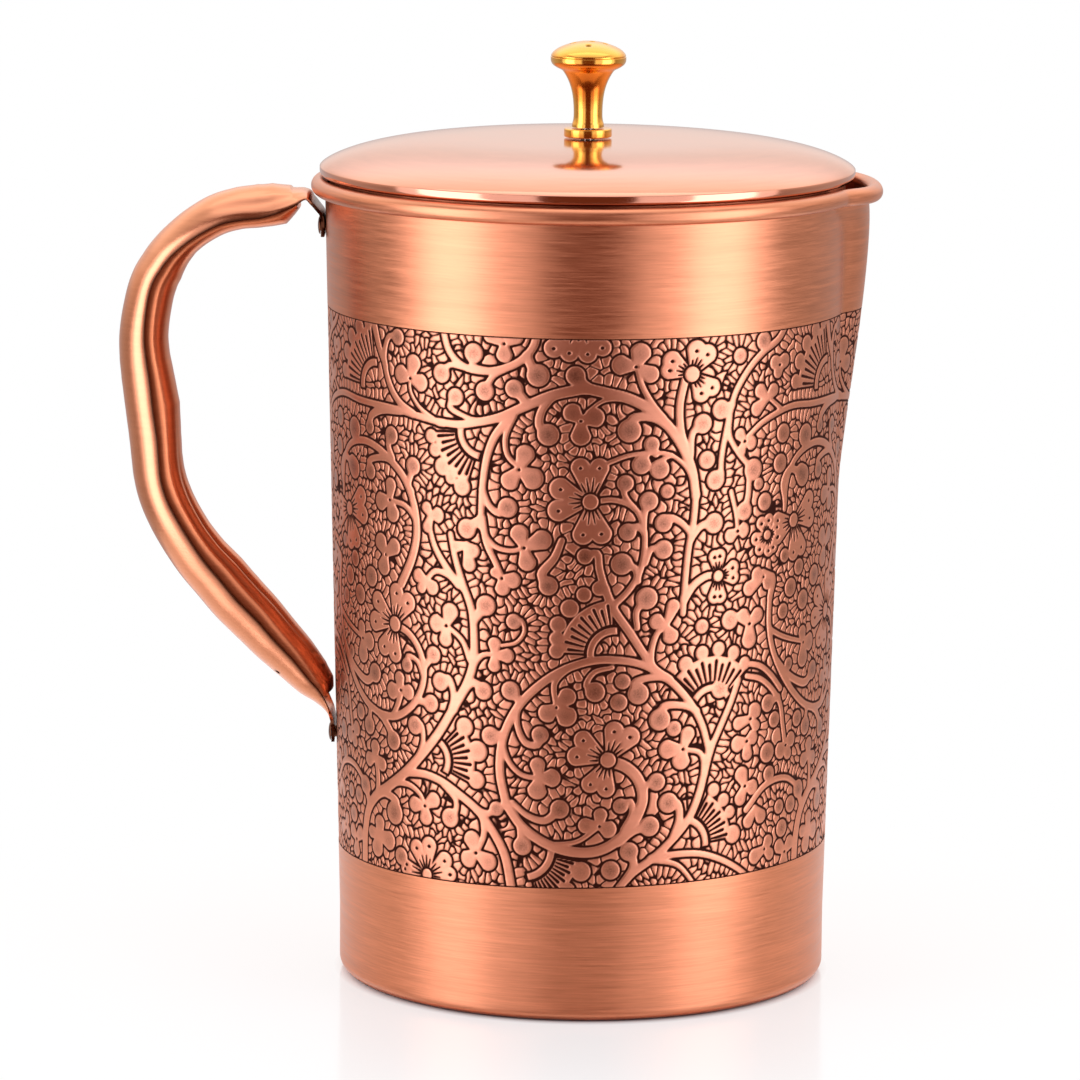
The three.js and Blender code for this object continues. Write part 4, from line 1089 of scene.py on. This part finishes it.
class Engraving:
    """One repeat of the band on a grid: raised shapes, cut lines and stippled spots."""

    def __init__(self):
        self.land = np.full((ROWS, COLUMNS), FAR)
        self.line = np.full((ROWS, COLUMNS), FAR)
        self.spot = np.zeros((ROWS, COLUMNS))

    def window(self, low, high):
        """The grid's rows and wrapped columns in a box, with their places."""
        first = [int(np.clip((v - UP[0]) / RISE, 0, ROWS)) for v in (low[1], high[1] + RISE)]
        start = math.floor((low[0] - ACROSS[0]) / STEP)
        end = min(math.ceil((high[0] - ACROSS[0]) / STEP) + 1, start + COLUMNS)
        columns = np.arange(start, end)
        across, up = np.meshgrid(ACROSS[0] + columns * STEP, UP[first[0]:first[1]])
        return np.ix_(np.arange(*first), columns % COLUMNS), across, up

    def around(self, u, v, reach):
        """The window round a place, with the distances from it."""
        window, across, up = self.window((u - reach, v - reach), (u + reach, v + reach))
        return window, across - u, up - v

    def join(self, window, away, blend):
        """Joins a shape to the raised ones with a rounded corner."""
        old = self.land[window]
        mix = np.clip(0.5 + 0.5 * (away - old) / blend, 0, 1)
        self.land[window] = away + (old - away) * mix - blend * mix * (1 - mix)

    def stroke(self, chain, blend):
        """A tapered stroke through (across, up, radius)."""
        chain = np.array(chain, float)
        reach = 3 + chain[:, 2].max()
        window, across, up = self.window(chain[:, :2].min(0) - reach, chain[:, :2].max(0) + reach)
        best = np.full(across.shape, FAR)
        for (u0, v0, r0), (u1, v1, r1) in zip(chain, chain[1:]):
            t, away = along(across - u0, up - v0, u1 - u0, v1 - v0)
            best = np.minimum(best, away - r0 - t * (r1 - r0))
        self.join(window, best, blend)

    def disc(self, u, v, r, blend, stain):
        """A round lobe with a stippled spot."""
        window, across, up = self.around(u, v, r + 3)
        self.join(window, np.hypot(across, up) - r, blend)
        self.shade(u, v, r, stain)

    def shade(self, u, v, r, stain):
        """A stippled spot that fades towards a lobe's edge."""
        window, across, up = self.around(u, v, 2 * r)
        soft = stain * np.exp(-(across ** 2 + up ** 2) / (0.5 * r * r))
        self.spot[window] = np.maximum(self.spot[window], soft)

    def cut(self, u0, v0, u1, v1, half):
        """An engraved line that thins towards its end."""
        low, high = (min(u0, u1) - 1, min(v0, v1) - 1), (max(u0, u1) + 1, max(v0, v1) + 1)
        window, across, up = self.window(low, high)
        t, away = along(across - u0, up - v0, u1 - u0, v1 - v0)
        self.line[window] = np.minimum(self.line[window], away - half * (1 - 0.45 * t))

    def dot(self, u, v, half=0.5):
        """A punched dot."""
        self.cut(u, v, u, v + 1e-4, half)

    def ray(self, u, v, degrees, start, end, half):
        """A line cut straight away from a place."""
        du, dv = math.cos(math.radians(degrees)), math.sin(math.radians(degrees))
        self.cut(u + start * du, v + start * dv, u + end * du, v + end * dv, half)

    def flower(self, u, v, r, petals):
        """Heart-shaped petals with dots and fine rays round a ringed middle."""
        for pair in petals:
            for lobe in pair:
                self.stroke([(u, v, 0.5), lobe], 0.25)
                self.dot(*lobe[:2])
            du, dv = (pair[0][0] + pair[1][0]) / 2 - u, (pair[0][1] + pair[1][1]) / 2 - v
            degrees = math.degrees(math.atan2(dv, du))
            for aside, reach in ((-25.5, 0.60), (-8.5, 0.70), (8.5, 0.70), (25.5, 0.60)):
                self.ray(u, v, degrees + aside, r + 0.7, reach * math.hypot(du, dv), 0.24)
        self.disc(u, v, r, 0.1, 0)
        window, across, up = self.around(u, v, r + 1)
        out = np.hypot(across, up)
        ring = np.abs(out - r - 0.22) - 0.24
        self.line[window] = np.where(out < r, ring, np.minimum(self.line[window], ring))

    def fan(self, u, v, arch, first, last, rays, scallops):
        """An arched stem, and a rayed blade with a scalloped edge."""
        window, across, up = self.around(u, v, max(s[1] for s in scallops) + 3)
        out = np.hypot(across, up)
        turn = (np.degrees(np.arctan2(up, across)) - first + 90) % 360 - 90
        past = np.radians(np.maximum(-turn, turn - (last - first))) * np.maximum(out, 1)
        self.join(window, np.maximum(np.abs(out - arch) - FAN_STEM, past - 1), 0.3)
        inner, outer = arch + BLADE_START, min(s[1] for s in scallops) - BLADE_END
        self.join(window, np.maximum(np.maximum(inner - out, out - outer), past), 0.3)
        for degrees, reach, r in scallops:
            way = math.radians(degrees)
            self.disc(u + reach * math.cos(way), v + reach * math.sin(way), r, 0.25, 0.5)
        for i in range(rays):
            degrees = first + (last - first) * (i + 0.5) / rays
            self.ray(u, v, degrees, outer - 1.2 - 0.9 * (i % 2), inner + 0.3, 0.36)

    def draw(self):
        """Draws every motif of the repeat."""
        for start, end, head, points in STEMS:
            line, way = smooth_line(points)
            self.stroke(np.column_stack([line, 0.88 * (start + (end - start) * way)]), 0.6)
            if head:
                self.disc(*points[-1], head, 0.5, 1.0)
        for u, v, core, lobes, dotted in SPRAYS:
            for lobe in lobes:
                self.stroke([(u, v, core), lobe], 0.3)
                self.shade(*lobe, 0.5)
            if dotted:
                self.dot(u, v, 0.45)
        for u, v, r in BUDS:
            self.disc(u, v, r, 0.1, 1.0)
        for fan in FANS:
            self.fan(*fan)
        for flower in FLOWERS:
            self.flower(*flower)

    def seeds(self):
        """Starting places of the filling's cells, as columns and rows of the grid."""
        chance = np.random.default_rng(7)
        rows = np.arange(UP[0], UP[-1], CELL_PITCH[1])
        count = round(REPEAT / CELL_PITCH[0])
        stagger = 0.5 * (np.arange(len(rows)) % 2)[:, None]
        across = (np.arange(count) + stagger) * REPEAT / count + ACROSS[0]
        even = np.stack([across.ravel(), np.repeat(rows, count)], 1)
        seeds = even + chance.normal(0, CELL_SCATTER, even.shape)
        return seeds[self.at(seeds, self.land) > GUTTER]

    def at(self, places, field):
        """A field's values at places."""
        column = np.round((places[:, 0] - ACROSS[0]) / STEP).astype(int) % COLUMNS
        row = np.clip(np.round((places[:, 1] - UP[0]) / RISE).astype(int), 0, ROWS - 1)
        return field[row, column]

    def cells(self):
        """How far places are in from their cell's edge. The cells stand across the outlines."""
        lean_v, lean_u = np.gradient(self.land, RISE, STEP)
        open_field = self.land > GUTTER
        seeds = self.seeds()
        for left in reversed(range(CELL_ROUNDS)):
            nearest = np.full((ROWS, COLUMNS), FAR)
            second = np.full((ROWS, COLUMNS), FAR)
            owner = np.full((ROWS, COLUMNS), -1)
            lean = np.stack([self.at(seeds, lean_u), self.at(seeds, lean_v)], 1)
            lean /= np.maximum(np.linalg.norm(lean, axis=1), 1e-6)[:, None]
            for i, ((u, v), (cu, cv)) in enumerate(zip(seeds, lean)):
                window, across, up = self.around(u, v, CELL_REACH)
                away = np.hypot(
                    (across * cu + up * cv) / CELL_LENGTH, (up * cu - across * cv) / CELL_WIDTH)
                near = nearest[window]
                closer = away < near
                second[window] = np.where(closer, near, np.minimum(second[window], away))
                nearest[window] = np.where(closer, away, near)
                owner[window] = np.where(closer, i, owner[window])
            if left:
                seeds = seeds + self.drift(seeds, owner, open_field)
        return (second - nearest) / 2

    def drift(self, seeds, owner, open_field):
        """From each seed to the middle of its cell."""
        moved = np.zeros((len(seeds), 2))
        for i, (u, v) in enumerate(seeds):
            window, across, up = self.around(u, v, CELL_REACH)
            mine = (owner[window] == i) & open_field[window]
            if mine.any():
                moved[i] = across[mine].mean(), up[mine].mean()
        return moved

    def relief(self):
        """Darkness of the cuts, strength of the spots, the filling's mask and the height."""
        self.draw()
        cells = self.cells() - HALF_GAP
        filling, raised = within(GUTTER - self.land, SOFT_WIDTH), within(self.land, SOFT_WIDTH)
        outline = within(-self.land, CUT_WIDTH) * within(self.land - GUTTER, CUT_WIDTH)
        between = within(cells, GAP_EDGE) * filling
        lines = within(self.line, CUT_WIDTH) * raised
        dark = np.maximum(np.maximum(outline, between), lines)
        pillow = np.clip(cells / CELL_ROUNDING, 0, 1)
        rounded = np.clip(-self.land / LAND_ROUNDING, 0, 1)
        height = -CUT_DEPTH * dark - filling * (FILLING_DEPTH + CELL_DEPTH * (1 - pillow) ** 2)
        height -= EDGE_DEPTH * (1 - rounded) ** 2 * raised
        return dark, self.spot * raised, filling, height


def within(distance, width):
    """How much of a place lies on the near side of a distance field's zero."""
    return np.clip(0.5 - distance / width, 0, 1)


def band_surface(relief):
    """The engraved surface's places all round the jug, its normals and its tones."""
    band, columns = sizes("band"), COLUMNS * REPEATS
    turn = (ACROSS[0] + np.arange(columns) * STEP) / ROLL_RADIUS - math.pi / 2
    foot = band_foot(turn)
    z = foot + (band.high - foot) * np.linspace(0, 1, ROWS)[:, None]
    row = np.clip((z / MILLI - UP[0]) / RISE, 0, ROWS - 1.001)
    low, column = row.astype(int), np.arange(columns) % COLUMNS
    part = row - low
    dark, spot, filling, height = (
        layer[low, column] * (1 - part) + layer[low + 1, column] * part for layer in relief)
    border = within(np.minimum(z - foot, band.high - z) / MILLI - 0.25, 0.3)
    dark = np.maximum(dark, border)
    facing = np.arctan2(np.sin(turn), np.cos(turn))
    height = height * MILLI * band.depth / DRAWN_DEPTH
    r = wall_radius(z) + spout_growth(z, facing) + height
    places = np.stack([r * np.cos(turn), r * np.sin(turn), z], 2)
    ahead = np.roll(places, -1, 1) - np.roll(places, 1, 1)
    normals = np.cross(ahead, np.gradient(places, axis=0))
    normals /= np.linalg.norm(normals, axis=2)[:, :, None]
    tones = np.stack([dark, spot, filling, np.ones_like(dark)], 2)
    back_rows = np.linspace(0, ROWS - 1, BACK_ROWS).astype(int)
    inward = (r - height - band.inlay + SLAB_CLEARANCE)[back_rows]
    back = np.stack([inward * np.cos(turn), inward * np.sin(turn), z[back_rows]], 2)
    return places, normals, tones, back, back_rows


def slab_faces(rows, columns, back_rows):
    """A closed slab's faces, its front's first: the corners of all, and how many each has."""
    front = np.arange(rows * columns).reshape(rows, columns)
    rear = rows * columns + np.arange(len(back_rows) * columns).reshape(-1, columns)

    def quads(a, b, c, d):
        return np.stack([x.ravel() for x in (a, b, c, d)], 1)

    corners = [np.concatenate([
        quads(front[:-1, :-1], front[:-1, 1:], front[1:, 1:], front[1:, :-1]),
        quads(rear[:-1, :-1], rear[1:, :-1], rear[1:, 1:], rear[:-1, 1:]),
        quads(front[0, 1:], front[0, :-1], rear[0, :-1], rear[0, 1:]),
        quads(front[-1, :-1], front[-1, 1:], rear[-1, 1:], rear[-1, :-1]),
    ]).ravel()]
    counts = [4] * (corners[0].size // 4)
    for i, (low, high) in enumerate(zip(back_rows, back_rows[1:])):
        left = [*front[low:high + 1, 0], rear[i + 1, 0], rear[i, 0]]
        right = [rear[i, -1], rear[i + 1, -1], *front[low:high + 1, -1][::-1]]
        corners += [np.array(left), np.array(right)]
        counts += [len(left), len(right)]
    return np.concatenate(corners), counts


def mesh_of(name, points, corners, counts):
    """A mesh of points and faces: far too many for the modelling operators."""
    mesh = bpy.data.meshes.new(name)
    mesh.vertices.add(len(points))
    mesh.vertices.foreach_set("co", points.ravel())
    mesh.loops.add(len(corners))
    mesh.loops.foreach_set("vertex_index", corners.astype(np.int32))
    mesh.polygons.add(len(counts))
    starts = np.concatenate([[0], np.cumsum(counts)[:-1]])
    mesh.polygons.foreach_set("loop_start", starts.astype(np.int32))
    mesh.update(calc_edges=True)
    return mesh


def slab_layout(corners, shown, rows, columns):
    """Each corner's place on the texture: the back and the sides lie below the front."""
    across, row = corners % columns / (columns - 1), corners // columns
    up = np.where(
        row < rows, FRONT_V + (1 - FRONT_V) * row / (rows - 1),
        BACK_V * (row - rows) / (BACK_ROWS - 1))
    up[shown:] = np.minimum(up[shown:], SIDE_V)
    return np.stack([across, up], 1)


def engraved_panel(name, places, normals, tones, back, back_rows):
    """A closed slab of the engraved layer, with its tones at each place."""
    rows, columns = places.shape[:2]
    hidden = len(back_rows) * columns
    corners, counts = slab_faces(rows, columns, back_rows)
    shown = 4 * (rows - 1) * (columns - 1)
    points = np.concatenate([places.reshape(-1, 3), back.reshape(-1, 3)])
    mesh = mesh_of(name, points, corners, counts)
    mesh.polygons.foreach_set("use_smooth", np.arange(len(counts)) < shown // 4)
    split = np.concatenate([normals.reshape(-1, 3), np.zeros((hidden, 3))])[corners]
    split[shown:] = 0
    mesh.normals_split_custom_set(split)
    layer = mesh.color_attributes.new("engraving", "FLOAT_COLOR", "POINT")
    plain = np.tile((0, 0, 0, 1), (hidden, 1))
    layer.data.foreach_set("color", np.concatenate([tones.reshape(-1, 4), plain]).ravel())
    layout = slab_layout(corners, shown, rows, columns)
    mesh.uv_layers.new(name="OFBake").data.foreach_set("uv", layout.ravel())
    piece = bpy.data.objects.new(name, mesh)
    bpy.context.scene.collection.objects.link(piece)
    return piece


class JUG_OT_band(bpy.types.Operator):
    """Engraves the floral band and lets it into the wall in panels"""

    bl_idname = "jug.band"
    bl_label = "Band"

    def execute(self, context):
        colours = sizes("colours")
        places, normals, tones, back, back_rows = band_surface(Engraving().relief())
        copper = engraved_copper("engraved_copper", colours.band, colours.dark)
        round_jug = COLUMNS * REPEATS
        wide = round_jug // PANELS
        for i in range(PANELS):
            taken = np.arange(i * wide, (i + 1) * wide + 1) % round_jug
            panel = engraved_panel(
                f"engraved_panel_{i + 1}", places[:, taken], normals[:, taken], tones[:, taken],
                back[:, taken], back_rows)
            paint(panel, copper)
            finished(panel, "jug", "wall_copper")
        return {"FINISHED"}


# Finishes


def add_node(tree, kind, inputs=None, **settings):
    """Adds a node, gives it its settings, and sets or links its inputs."""
    node = tree.nodes.new(kind)
    for name, value in settings.items():
        setattr(node, name, value)
    for name, value in (inputs or {}).items():
        if isinstance(value, bpy.types.NodeSocket):
            tree.links.new(value, node.inputs[name])
        else:
            node.inputs[name].default_value = value
    return node


def new_group(name, inputs, outputs):
    """A shader node group with its two end nodes, or None for them if it was built before."""
    found = bpy.data.node_groups.get(name)
    if found:
        return found, None, None
    tree = bpy.data.node_groups.new(name, "ShaderNodeTree")
    for label, kind, default in inputs:
        socket = tree.interface.new_socket(label, in_out="INPUT", socket_type=kind)
        socket.default_value = default
    for label, kind in outputs:
        tree.interface.new_socket(label, in_out="OUTPUT", socket_type=kind)
    return tree, tree.nodes.new("NodeGroupInput"), tree.nodes.new("NodeGroupOutput")


def brush_marks():
    """Fine scratches that run round the jug, and the slow change of tone under them."""
    tree, given, made = new_group(
        "Brush marks",
        [("Fineness", "NodeSocketFloat", 2100), ("Along", "NodeSocketFloat", 80)],
        [("Marks", "NodeSocketFloat"), ("Tone", "NodeSocketFloat")])
    if given is None:
        return tree
    where = add_node(tree, "ShaderNodeTexCoord").outputs["Object"]
    stretch = add_node(tree, "ShaderNodeCombineXYZ", {
        "X": given.outputs["Along"], "Y": given.outputs["Along"], "Z": given.outputs["Fineness"]})
    lines = add_node(tree, "ShaderNodeVectorMath", {
        0: where, 1: stretch.outputs[0]}, operation="MULTIPLY")
    fine = add_node(tree, "ShaderNodeTexNoise", {
        "Vector": lines.outputs[0], "Scale": 1.0, "Detail": 3.0, "Roughness": 0.65})
    tone = add_node(tree, "ShaderNodeTexNoise", {
        "Vector": lines.outputs[0], "Scale": 0.22, "Detail": 4.0})
    tree.links.new(fine.outputs["Fac"], made.inputs["Marks"])
    tree.links.new(tone.outputs["Fac"], made.inputs["Tone"])
    return tree


def new_material(name):
    """A material without nodes, and its tree."""
    material = bpy.data.materials.new(name)
    material.use_nodes = True
    tree = material.node_tree
    tree.nodes.clear()
    return material, tree


def blended(tree, mask, low, high, **settings):
    """Mixes two colours by a mask."""
    return add_node(
        tree, "ShaderNodeMix", {0: mask, 6: low, 7: high}, data_type="RGBA", **settings).outputs[2]


def darker(tint, share):
    """A colour with only a share of its light."""
    return (*[part * share for part in tint[:3]], 1)


def spread(tree, value, low, high):
    """Maps a mask's middle range onto low to high."""
    return add_node(tree, "ShaderNodeMapRange", {
        "Value": value, "From Min": 0.3, "From Max": 0.7, "To Min": low, "To Max": high}).outputs[0]


def brushed_copper(name, tint, roughness, seam=None, depth=1.0):
    """Copper with turning marks of some depth, and, if it has any, the dark lines of its seams and
    its painted shade.
    """
    material, tree = new_material(name)
    marks = add_node(tree, "ShaderNodeGroup", node_tree=brush_marks())
    slow = spread(tree, marks.outputs["Tone"], 0, 1)
    tone = blended(tree, slow, darker(tint, 1 - 0.14 * depth), tuple(tint))
    if seam:
        # The attribute's darkness: dark seam lines, and painted shade under the handle's lap, over
        # its tabs and in its flutes.
        line = add_node(tree, "ShaderNodeAttribute", attribute_name="seam").outputs["Fac"]
        tone = blended(tree, line, tone, tuple(seam))
    streak = spread(tree, marks.outputs["Marks"], 1 - 0.24 * depth, 1.03)
    tone = blended(tree, 1.0, tone, streak, blend_type="MULTIPLY")
    rough = spread(tree, marks.outputs["Marks"], roughness - 0.05 * depth, roughness + 0.08 * depth)
    bump = add_node(tree, "ShaderNodeBump", {
        "Strength": 0.3 * depth, "Distance": 0.0001, "Height": marks.outputs["Marks"]})
    shader = add_node(tree, "ShaderNodeBsdfPrincipled", {
        "Base Color": tone, "Metallic": 1.0, "Roughness": rough, "Normal": bump.outputs[0]})
    add_node(tree, "ShaderNodeOutputMaterial", {"Surface": shader.outputs[0]})
    return material


def engraved_copper(name, tint, ink):
    """Antique copper: bright raised parts, dark cuts and stippled spots."""
    material, tree = new_material(name)
    marks = add_node(tree, "ShaderNodeGroup", node_tree=brush_marks())
    cut = add_node(tree, "ShaderNodeAttribute", attribute_name="engraving").outputs["Color"]
    parts = add_node(tree, "ShaderNodeSeparateColor", {0: cut})
    where = add_node(tree, "ShaderNodeTexCoord").outputs["Object"]
    grain = add_node(tree, "ShaderNodeTexNoise", {"Vector": where, "Scale": 2400.0, "Detail": 2.0})
    stipple = add_node(tree, "ShaderNodeMath", {
        0: parts.outputs["Green"], 1: spread(tree, grain.outputs["Fac"], 0.45, 1.0)},
        operation="MULTIPLY")
    slow = spread(tree, marks.outputs["Tone"], 0, 1)
    land = blended(tree, slow, darker(tint, 0.86), tuple(tint))
    stained = blended(tree, stipple.outputs[0], land, darker(tint, 0.30))
    filled = add_node(tree, "ShaderNodeMapRange", {
        "Value": parts.outputs["Red"], "From Min": 0.05, "From Max": 0.65},
        interpolation_type="SMOOTHSTEP")
    shown = blended(tree, filled.outputs[0], stained, tuple(ink))
    rough = add_node(tree, "ShaderNodeMapRange", {
        "Value": parts.outputs["Red"], "To Min": 0.33, "To Max": 0.7})
    metal = add_node(tree, "ShaderNodeMapRange", {
        "Value": parts.outputs["Red"], "From Min": 0.1, "From Max": 0.7,
        "To Min": 1.0, "To Max": 0.0})
    shader = add_node(tree, "ShaderNodeBsdfPrincipled", {
        "Base Color": shown, "Metallic": metal.outputs[0], "Roughness": rough.outputs[0],
        "Specular IOR Level": 0.05})
    add_node(tree, "ShaderNodeOutputMaterial", {"Surface": shader.outputs[0]})
    return material


def polished_brass(name, tint, seam):
    """Polished brass with faint turning marks and painted shade in its dimples."""
    material, tree = new_material(name)
    marks = add_node(tree, "ShaderNodeGroup", {
        "Fineness": 3400.0, "Along": 60.0}, node_tree=brush_marks())
    deeper = (tint[0] * 0.95, tint[1] * 0.86, tint[2] * 0.7, 1)
    slow = spread(tree, marks.outputs["Tone"], 0, 1)
    # The attribute's darkness is the painted shade in the dimples.
    line = add_node(tree, "ShaderNodeAttribute", attribute_name="seam").outputs["Fac"]
    tone = blended(tree, line, blended(tree, slow, deeper, tuple(tint)), tuple(seam))
    rough = spread(tree, marks.outputs["Marks"], 0.13, 0.19)
    shader = add_node(tree, "ShaderNodeBsdfPrincipled", {
        "Base Color": tone, "Metallic": 1.0, "Roughness": rough})
    add_node(tree, "ShaderNodeOutputMaterial", {"Surface": shader.outputs[0]})
    return material


def plain_metal(name, tint, roughness):
    """Drawn or turned steel with faint marks."""
    material, tree = new_material(name)
    marks = add_node(tree, "ShaderNodeGroup", {
        "Fineness": 4000.0, "Along": 200.0}, node_tree=brush_marks())
    rough = spread(tree, marks.outputs["Marks"], roughness - 0.08, roughness + 0.08)
    shader = add_node(tree, "ShaderNodeBsdfPrincipled", {
        "Base Color": tuple(tint), "Metallic": 1.0, "Roughness": rough})
    add_node(tree, "ShaderNodeOutputMaterial", {"Surface": shader.outputs[0]})
    return material


# The stage

LAMP_COLOUR = (0.92, 1.0, 1.2)
# Sizes of the lamps' faces, and the height of the side lamps' middles
LAMP_WIDTH, CORE_WIDTH, LAMP_LENGTH, LAMP_HEIGHT = 1.3, 0.52, 1.6, 0.1
TOP_LAMP = (1.2, 0.9)
# What metal sees of the room: in front, low behind, at the horizon and high above
ROOM_FRONT, ROOM_LOW = (0.20, 0.068, 0.030, 1), (0.62, 0.58, 0.58, 1)
ROOM_LEVEL, ROOM_HIGH = (1.08, 0.99, 0.93, 1), (1.75, 1.85, 1.95, 1)
WHITE = (1, 1, 1, 1)


def soft_lamp(name, glow, width, height, matrix):
    """An area lamp whose face has a given brightness."""
    lamp = bpy.data.lights.new(name, "AREA")
    lamp.shape = "RECTANGLE"
    lamp.size, lamp.size_y = width, height
    lamp.energy = glow * math.pi * width * height
    lamp.color = LAMP_COLOUR
    holder = bpy.data.objects.new(name, lamp)
    bpy.context.scene.collection.objects.link(holder)
    holder.matrix_world = matrix


def white_world():
    """A studio: white to the camera, and to metal a warm dark in front and pale behind."""
    world = bpy.data.worlds.new("studio")
    bpy.context.scene.world = world
    world.use_nodes = True
    tree = world.node_tree
    tree.nodes.clear()
    way = add_node(tree, "ShaderNodeTexCoord").outputs["Generated"]
    parts = add_node(tree, "ShaderNodeSeparateXYZ", {0: way})

    def grows(axis, start, end):
        return add_node(tree, "ShaderNodeMapRange", {
            "Value": parts.outputs[axis], "From Min": start, "From Max": end},
            interpolation_type="SMOOTHSTEP").outputs[0]

    sky = blended(tree, grows("Z", 0.2, 0.6), ROOM_LEVEL, ROOM_HIGH)
    backdrop = blended(tree, grows("Z", -0.05, 0.12), ROOM_LOW, sky)
    room = blended(tree, grows("Y", -0.7, 0.6), ROOM_FRONT, backdrop)
    sight = add_node(tree, "ShaderNodeLightPath")
    seen = blended(tree, sight.outputs["Is Camera Ray"], room, WHITE)
    glow = add_node(tree, "ShaderNodeBackground", {"Color": seen, "Strength": 1.0})
    add_node(tree, "ShaderNodeOutputWorld", {"Surface": glow.outputs[0]})


def floor_material():
    """White to the camera but for a soft shadow and a faint reflection close to the jug."""
    material, tree = new_material("studio_floor")
    where = add_node(tree, "ShaderNodeTexCoord").outputs["Object"]
    away = add_node(tree, "ShaderNodeVectorMath", {0: where}, operation="LENGTH")
    far = add_node(tree, "ShaderNodeMapRange", {
        "Value": away.outputs["Value"], "From Min": 0.07, "From Max": 0.2,
        "To Min": 0.34, "To Max": 0.0}, interpolation_type="SMOOTHSTEP")
    contact = add_node(tree, "ShaderNodeMapRange", {
        "Value": away.outputs["Value"], "From Min": 0.0575, "From Max": 0.0635,
        "To Min": 1.0, "To Max": 0.0})
    near = add_node(tree, "ShaderNodeMath", {
        0: far.outputs[0], 1: contact.outputs[0]}, operation="MAXIMUM")
    sight = add_node(tree, "ShaderNodeLightPath")
    shown = add_node(tree, "ShaderNodeMix", {
        0: sight.outputs["Is Camera Ray"], 2: 1.0, 3: near.outputs[0]}, data_type="FLOAT")
    matt = add_node(tree, "ShaderNodeBsdfDiffuse", {"Color": (0.85, 0.78, 0.74, 1)})
    gloss = add_node(tree, "ShaderNodeBsdfGlossy", {"Color": (0.9, 0.9, 0.9, 1), "Roughness": 0.12})
    body = add_node(tree, "ShaderNodeMixShader", {0: 0.5, 1: matt.outputs[0], 2: gloss.outputs[0]})
    white = add_node(tree, "ShaderNodeEmission", {"Color": WHITE, "Strength": 1.0})
    mixed = add_node(tree, "ShaderNodeMixShader", {
        0: shown.outputs[0], 1: white.outputs[0], 2: body.outputs[0]})
    add_node(tree, "ShaderNodeOutputMaterial", {"Surface": mixed.outputs[0]})
    return material


class JUG_OT_stage(bpy.types.Operator):
    """Sets up the floor, the lamps and the camera"""

    bl_idname = "jug.stage"
    bl_label = "Stage"

    def execute(self, context):
        stage, scene = sizes("stage"), context.scene
        scene.view_settings.view_transform = "Standard"
        clear_selection()
        bpy.ops.mesh.primitive_circle_add(
            vertices=96, radius=0.26, fill_type="NGON", location=(0, 0, -0.0002))
        floor = named("studio_floor")
        paint(floor, floor_material())
        white_world()
        upright = Matrix.Rotation(math.pi / 2, 4, "X")
        away = stage.lamp_distance
        parts = (
            ("lamp", stage.lamp_angle, away, stage.side_glow, LAMP_WIDTH),
            ("core", stage.core_angle, away * 0.98, stage.core_glow, CORE_WIDTH),
        )
        for name, side in (("left", -1), ("right", 1)):
            for part, turn, out, glow, wide in parts:
                outwards = Matrix.Translation((0, -out, LAMP_HEIGHT))
                spot = Matrix.Rotation(side * turn, 4, "Z") @ outwards
                soft_lamp(f"{name}_{part}", glow, wide, LAMP_LENGTH, spot @ upright)
        over = Matrix.Translation((0, -0.25, 1.1)) @ Matrix.Rotation(math.radians(-13), 4, "X")
        soft_lamp("top_lamp", stage.top_glow, *TOP_LAMP, over)
        self.add_camera(stage, scene)
        return {"FINISHED"}

    def add_camera(self, stage, scene):
        """Aims the camera as the photograph's was, by its turn, its tilt down and its roll."""
        yaw, pitch, roll = stage.camera_yaw, stage.camera_pitch, stage.camera_roll
        ahead = math.cos(pitch)
        forward = np.array([-math.sin(yaw) * ahead, math.cos(yaw) * ahead, -math.sin(pitch)])
        level = np.array([math.cos(yaw), math.sin(yaw), 0])
        above = np.cross(level, forward)
        right = math.cos(roll) * level + math.sin(roll) * above
        up = math.cos(roll) * above - math.sin(roll) * level
        camera = bpy.data.objects.new("camera", bpy.data.cameras.new("camera"))
        camera.data.sensor_width = 36
        camera.data.lens = stage.lens
        camera.data.clip_end = 20
        scene.collection.objects.link(camera)
        matrix = Matrix.Identity(4)
        place = (0, -stage.camera_distance, stage.camera_height)
        for i, column in enumerate((right, up, -forward, place)):
            for j in range(3):
                matrix[j][i] = column[j]
        camera.matrix_world = matrix
        scene.camera = camera


OPERATORS = (
    JUG_OT_stage,
    JUG_OT_wall,
    JUG_OT_handle,
    JUG_OT_rivets,
    JUG_OT_lid,
    JUG_OT_knob,
    JUG_OT_band,
)


class JUG_PT_panel(bpy.types.Panel):
    """Lists the jug's steps and sizes"""

    bl_label = "Copper jug"
    bl_space_type = "VIEW_3D"
    bl_region_type = "UI"
    bl_category = "Copper jug"

    def draw(self, context):
        for operator in OPERATORS:
            self.layout.operator(operator.bl_idname)
        for name, group in GROUPS.items():
            column = self.layout.column(heading=name)
            for key in group.__annotations__:
                column.prop(getattr(context.scene, name), key)


def register():
    """Registers the groups of sizes, the steps and the panel."""
    for group in GROUPS.values():
        bpy.utils.register_class(group)
    for name, group in GROUPS.items():
        setattr(bpy.types.Scene, name, bpy.props.PointerProperty(type=group))
    for kind in (*OPERATORS, JUG_PT_panel):
        bpy.utils.register_class(kind)


def unregister():
    """Takes out what register put in."""
    for kind in reversed((*OPERATORS, JUG_PT_panel)):
        bpy.utils.unregister_class(kind)
    for name, group in GROUPS.items():
        delattr(bpy.types.Scene, name)
        bpy.utils.unregister_class(group)


def main():
    """Builds the jug step by step."""
    register()
    for operator in OPERATORS:
        family, step = operator.bl_idname.split(".")
        getattr(getattr(bpy.ops, family), step)()


if __name__ == "__main__":
    main()
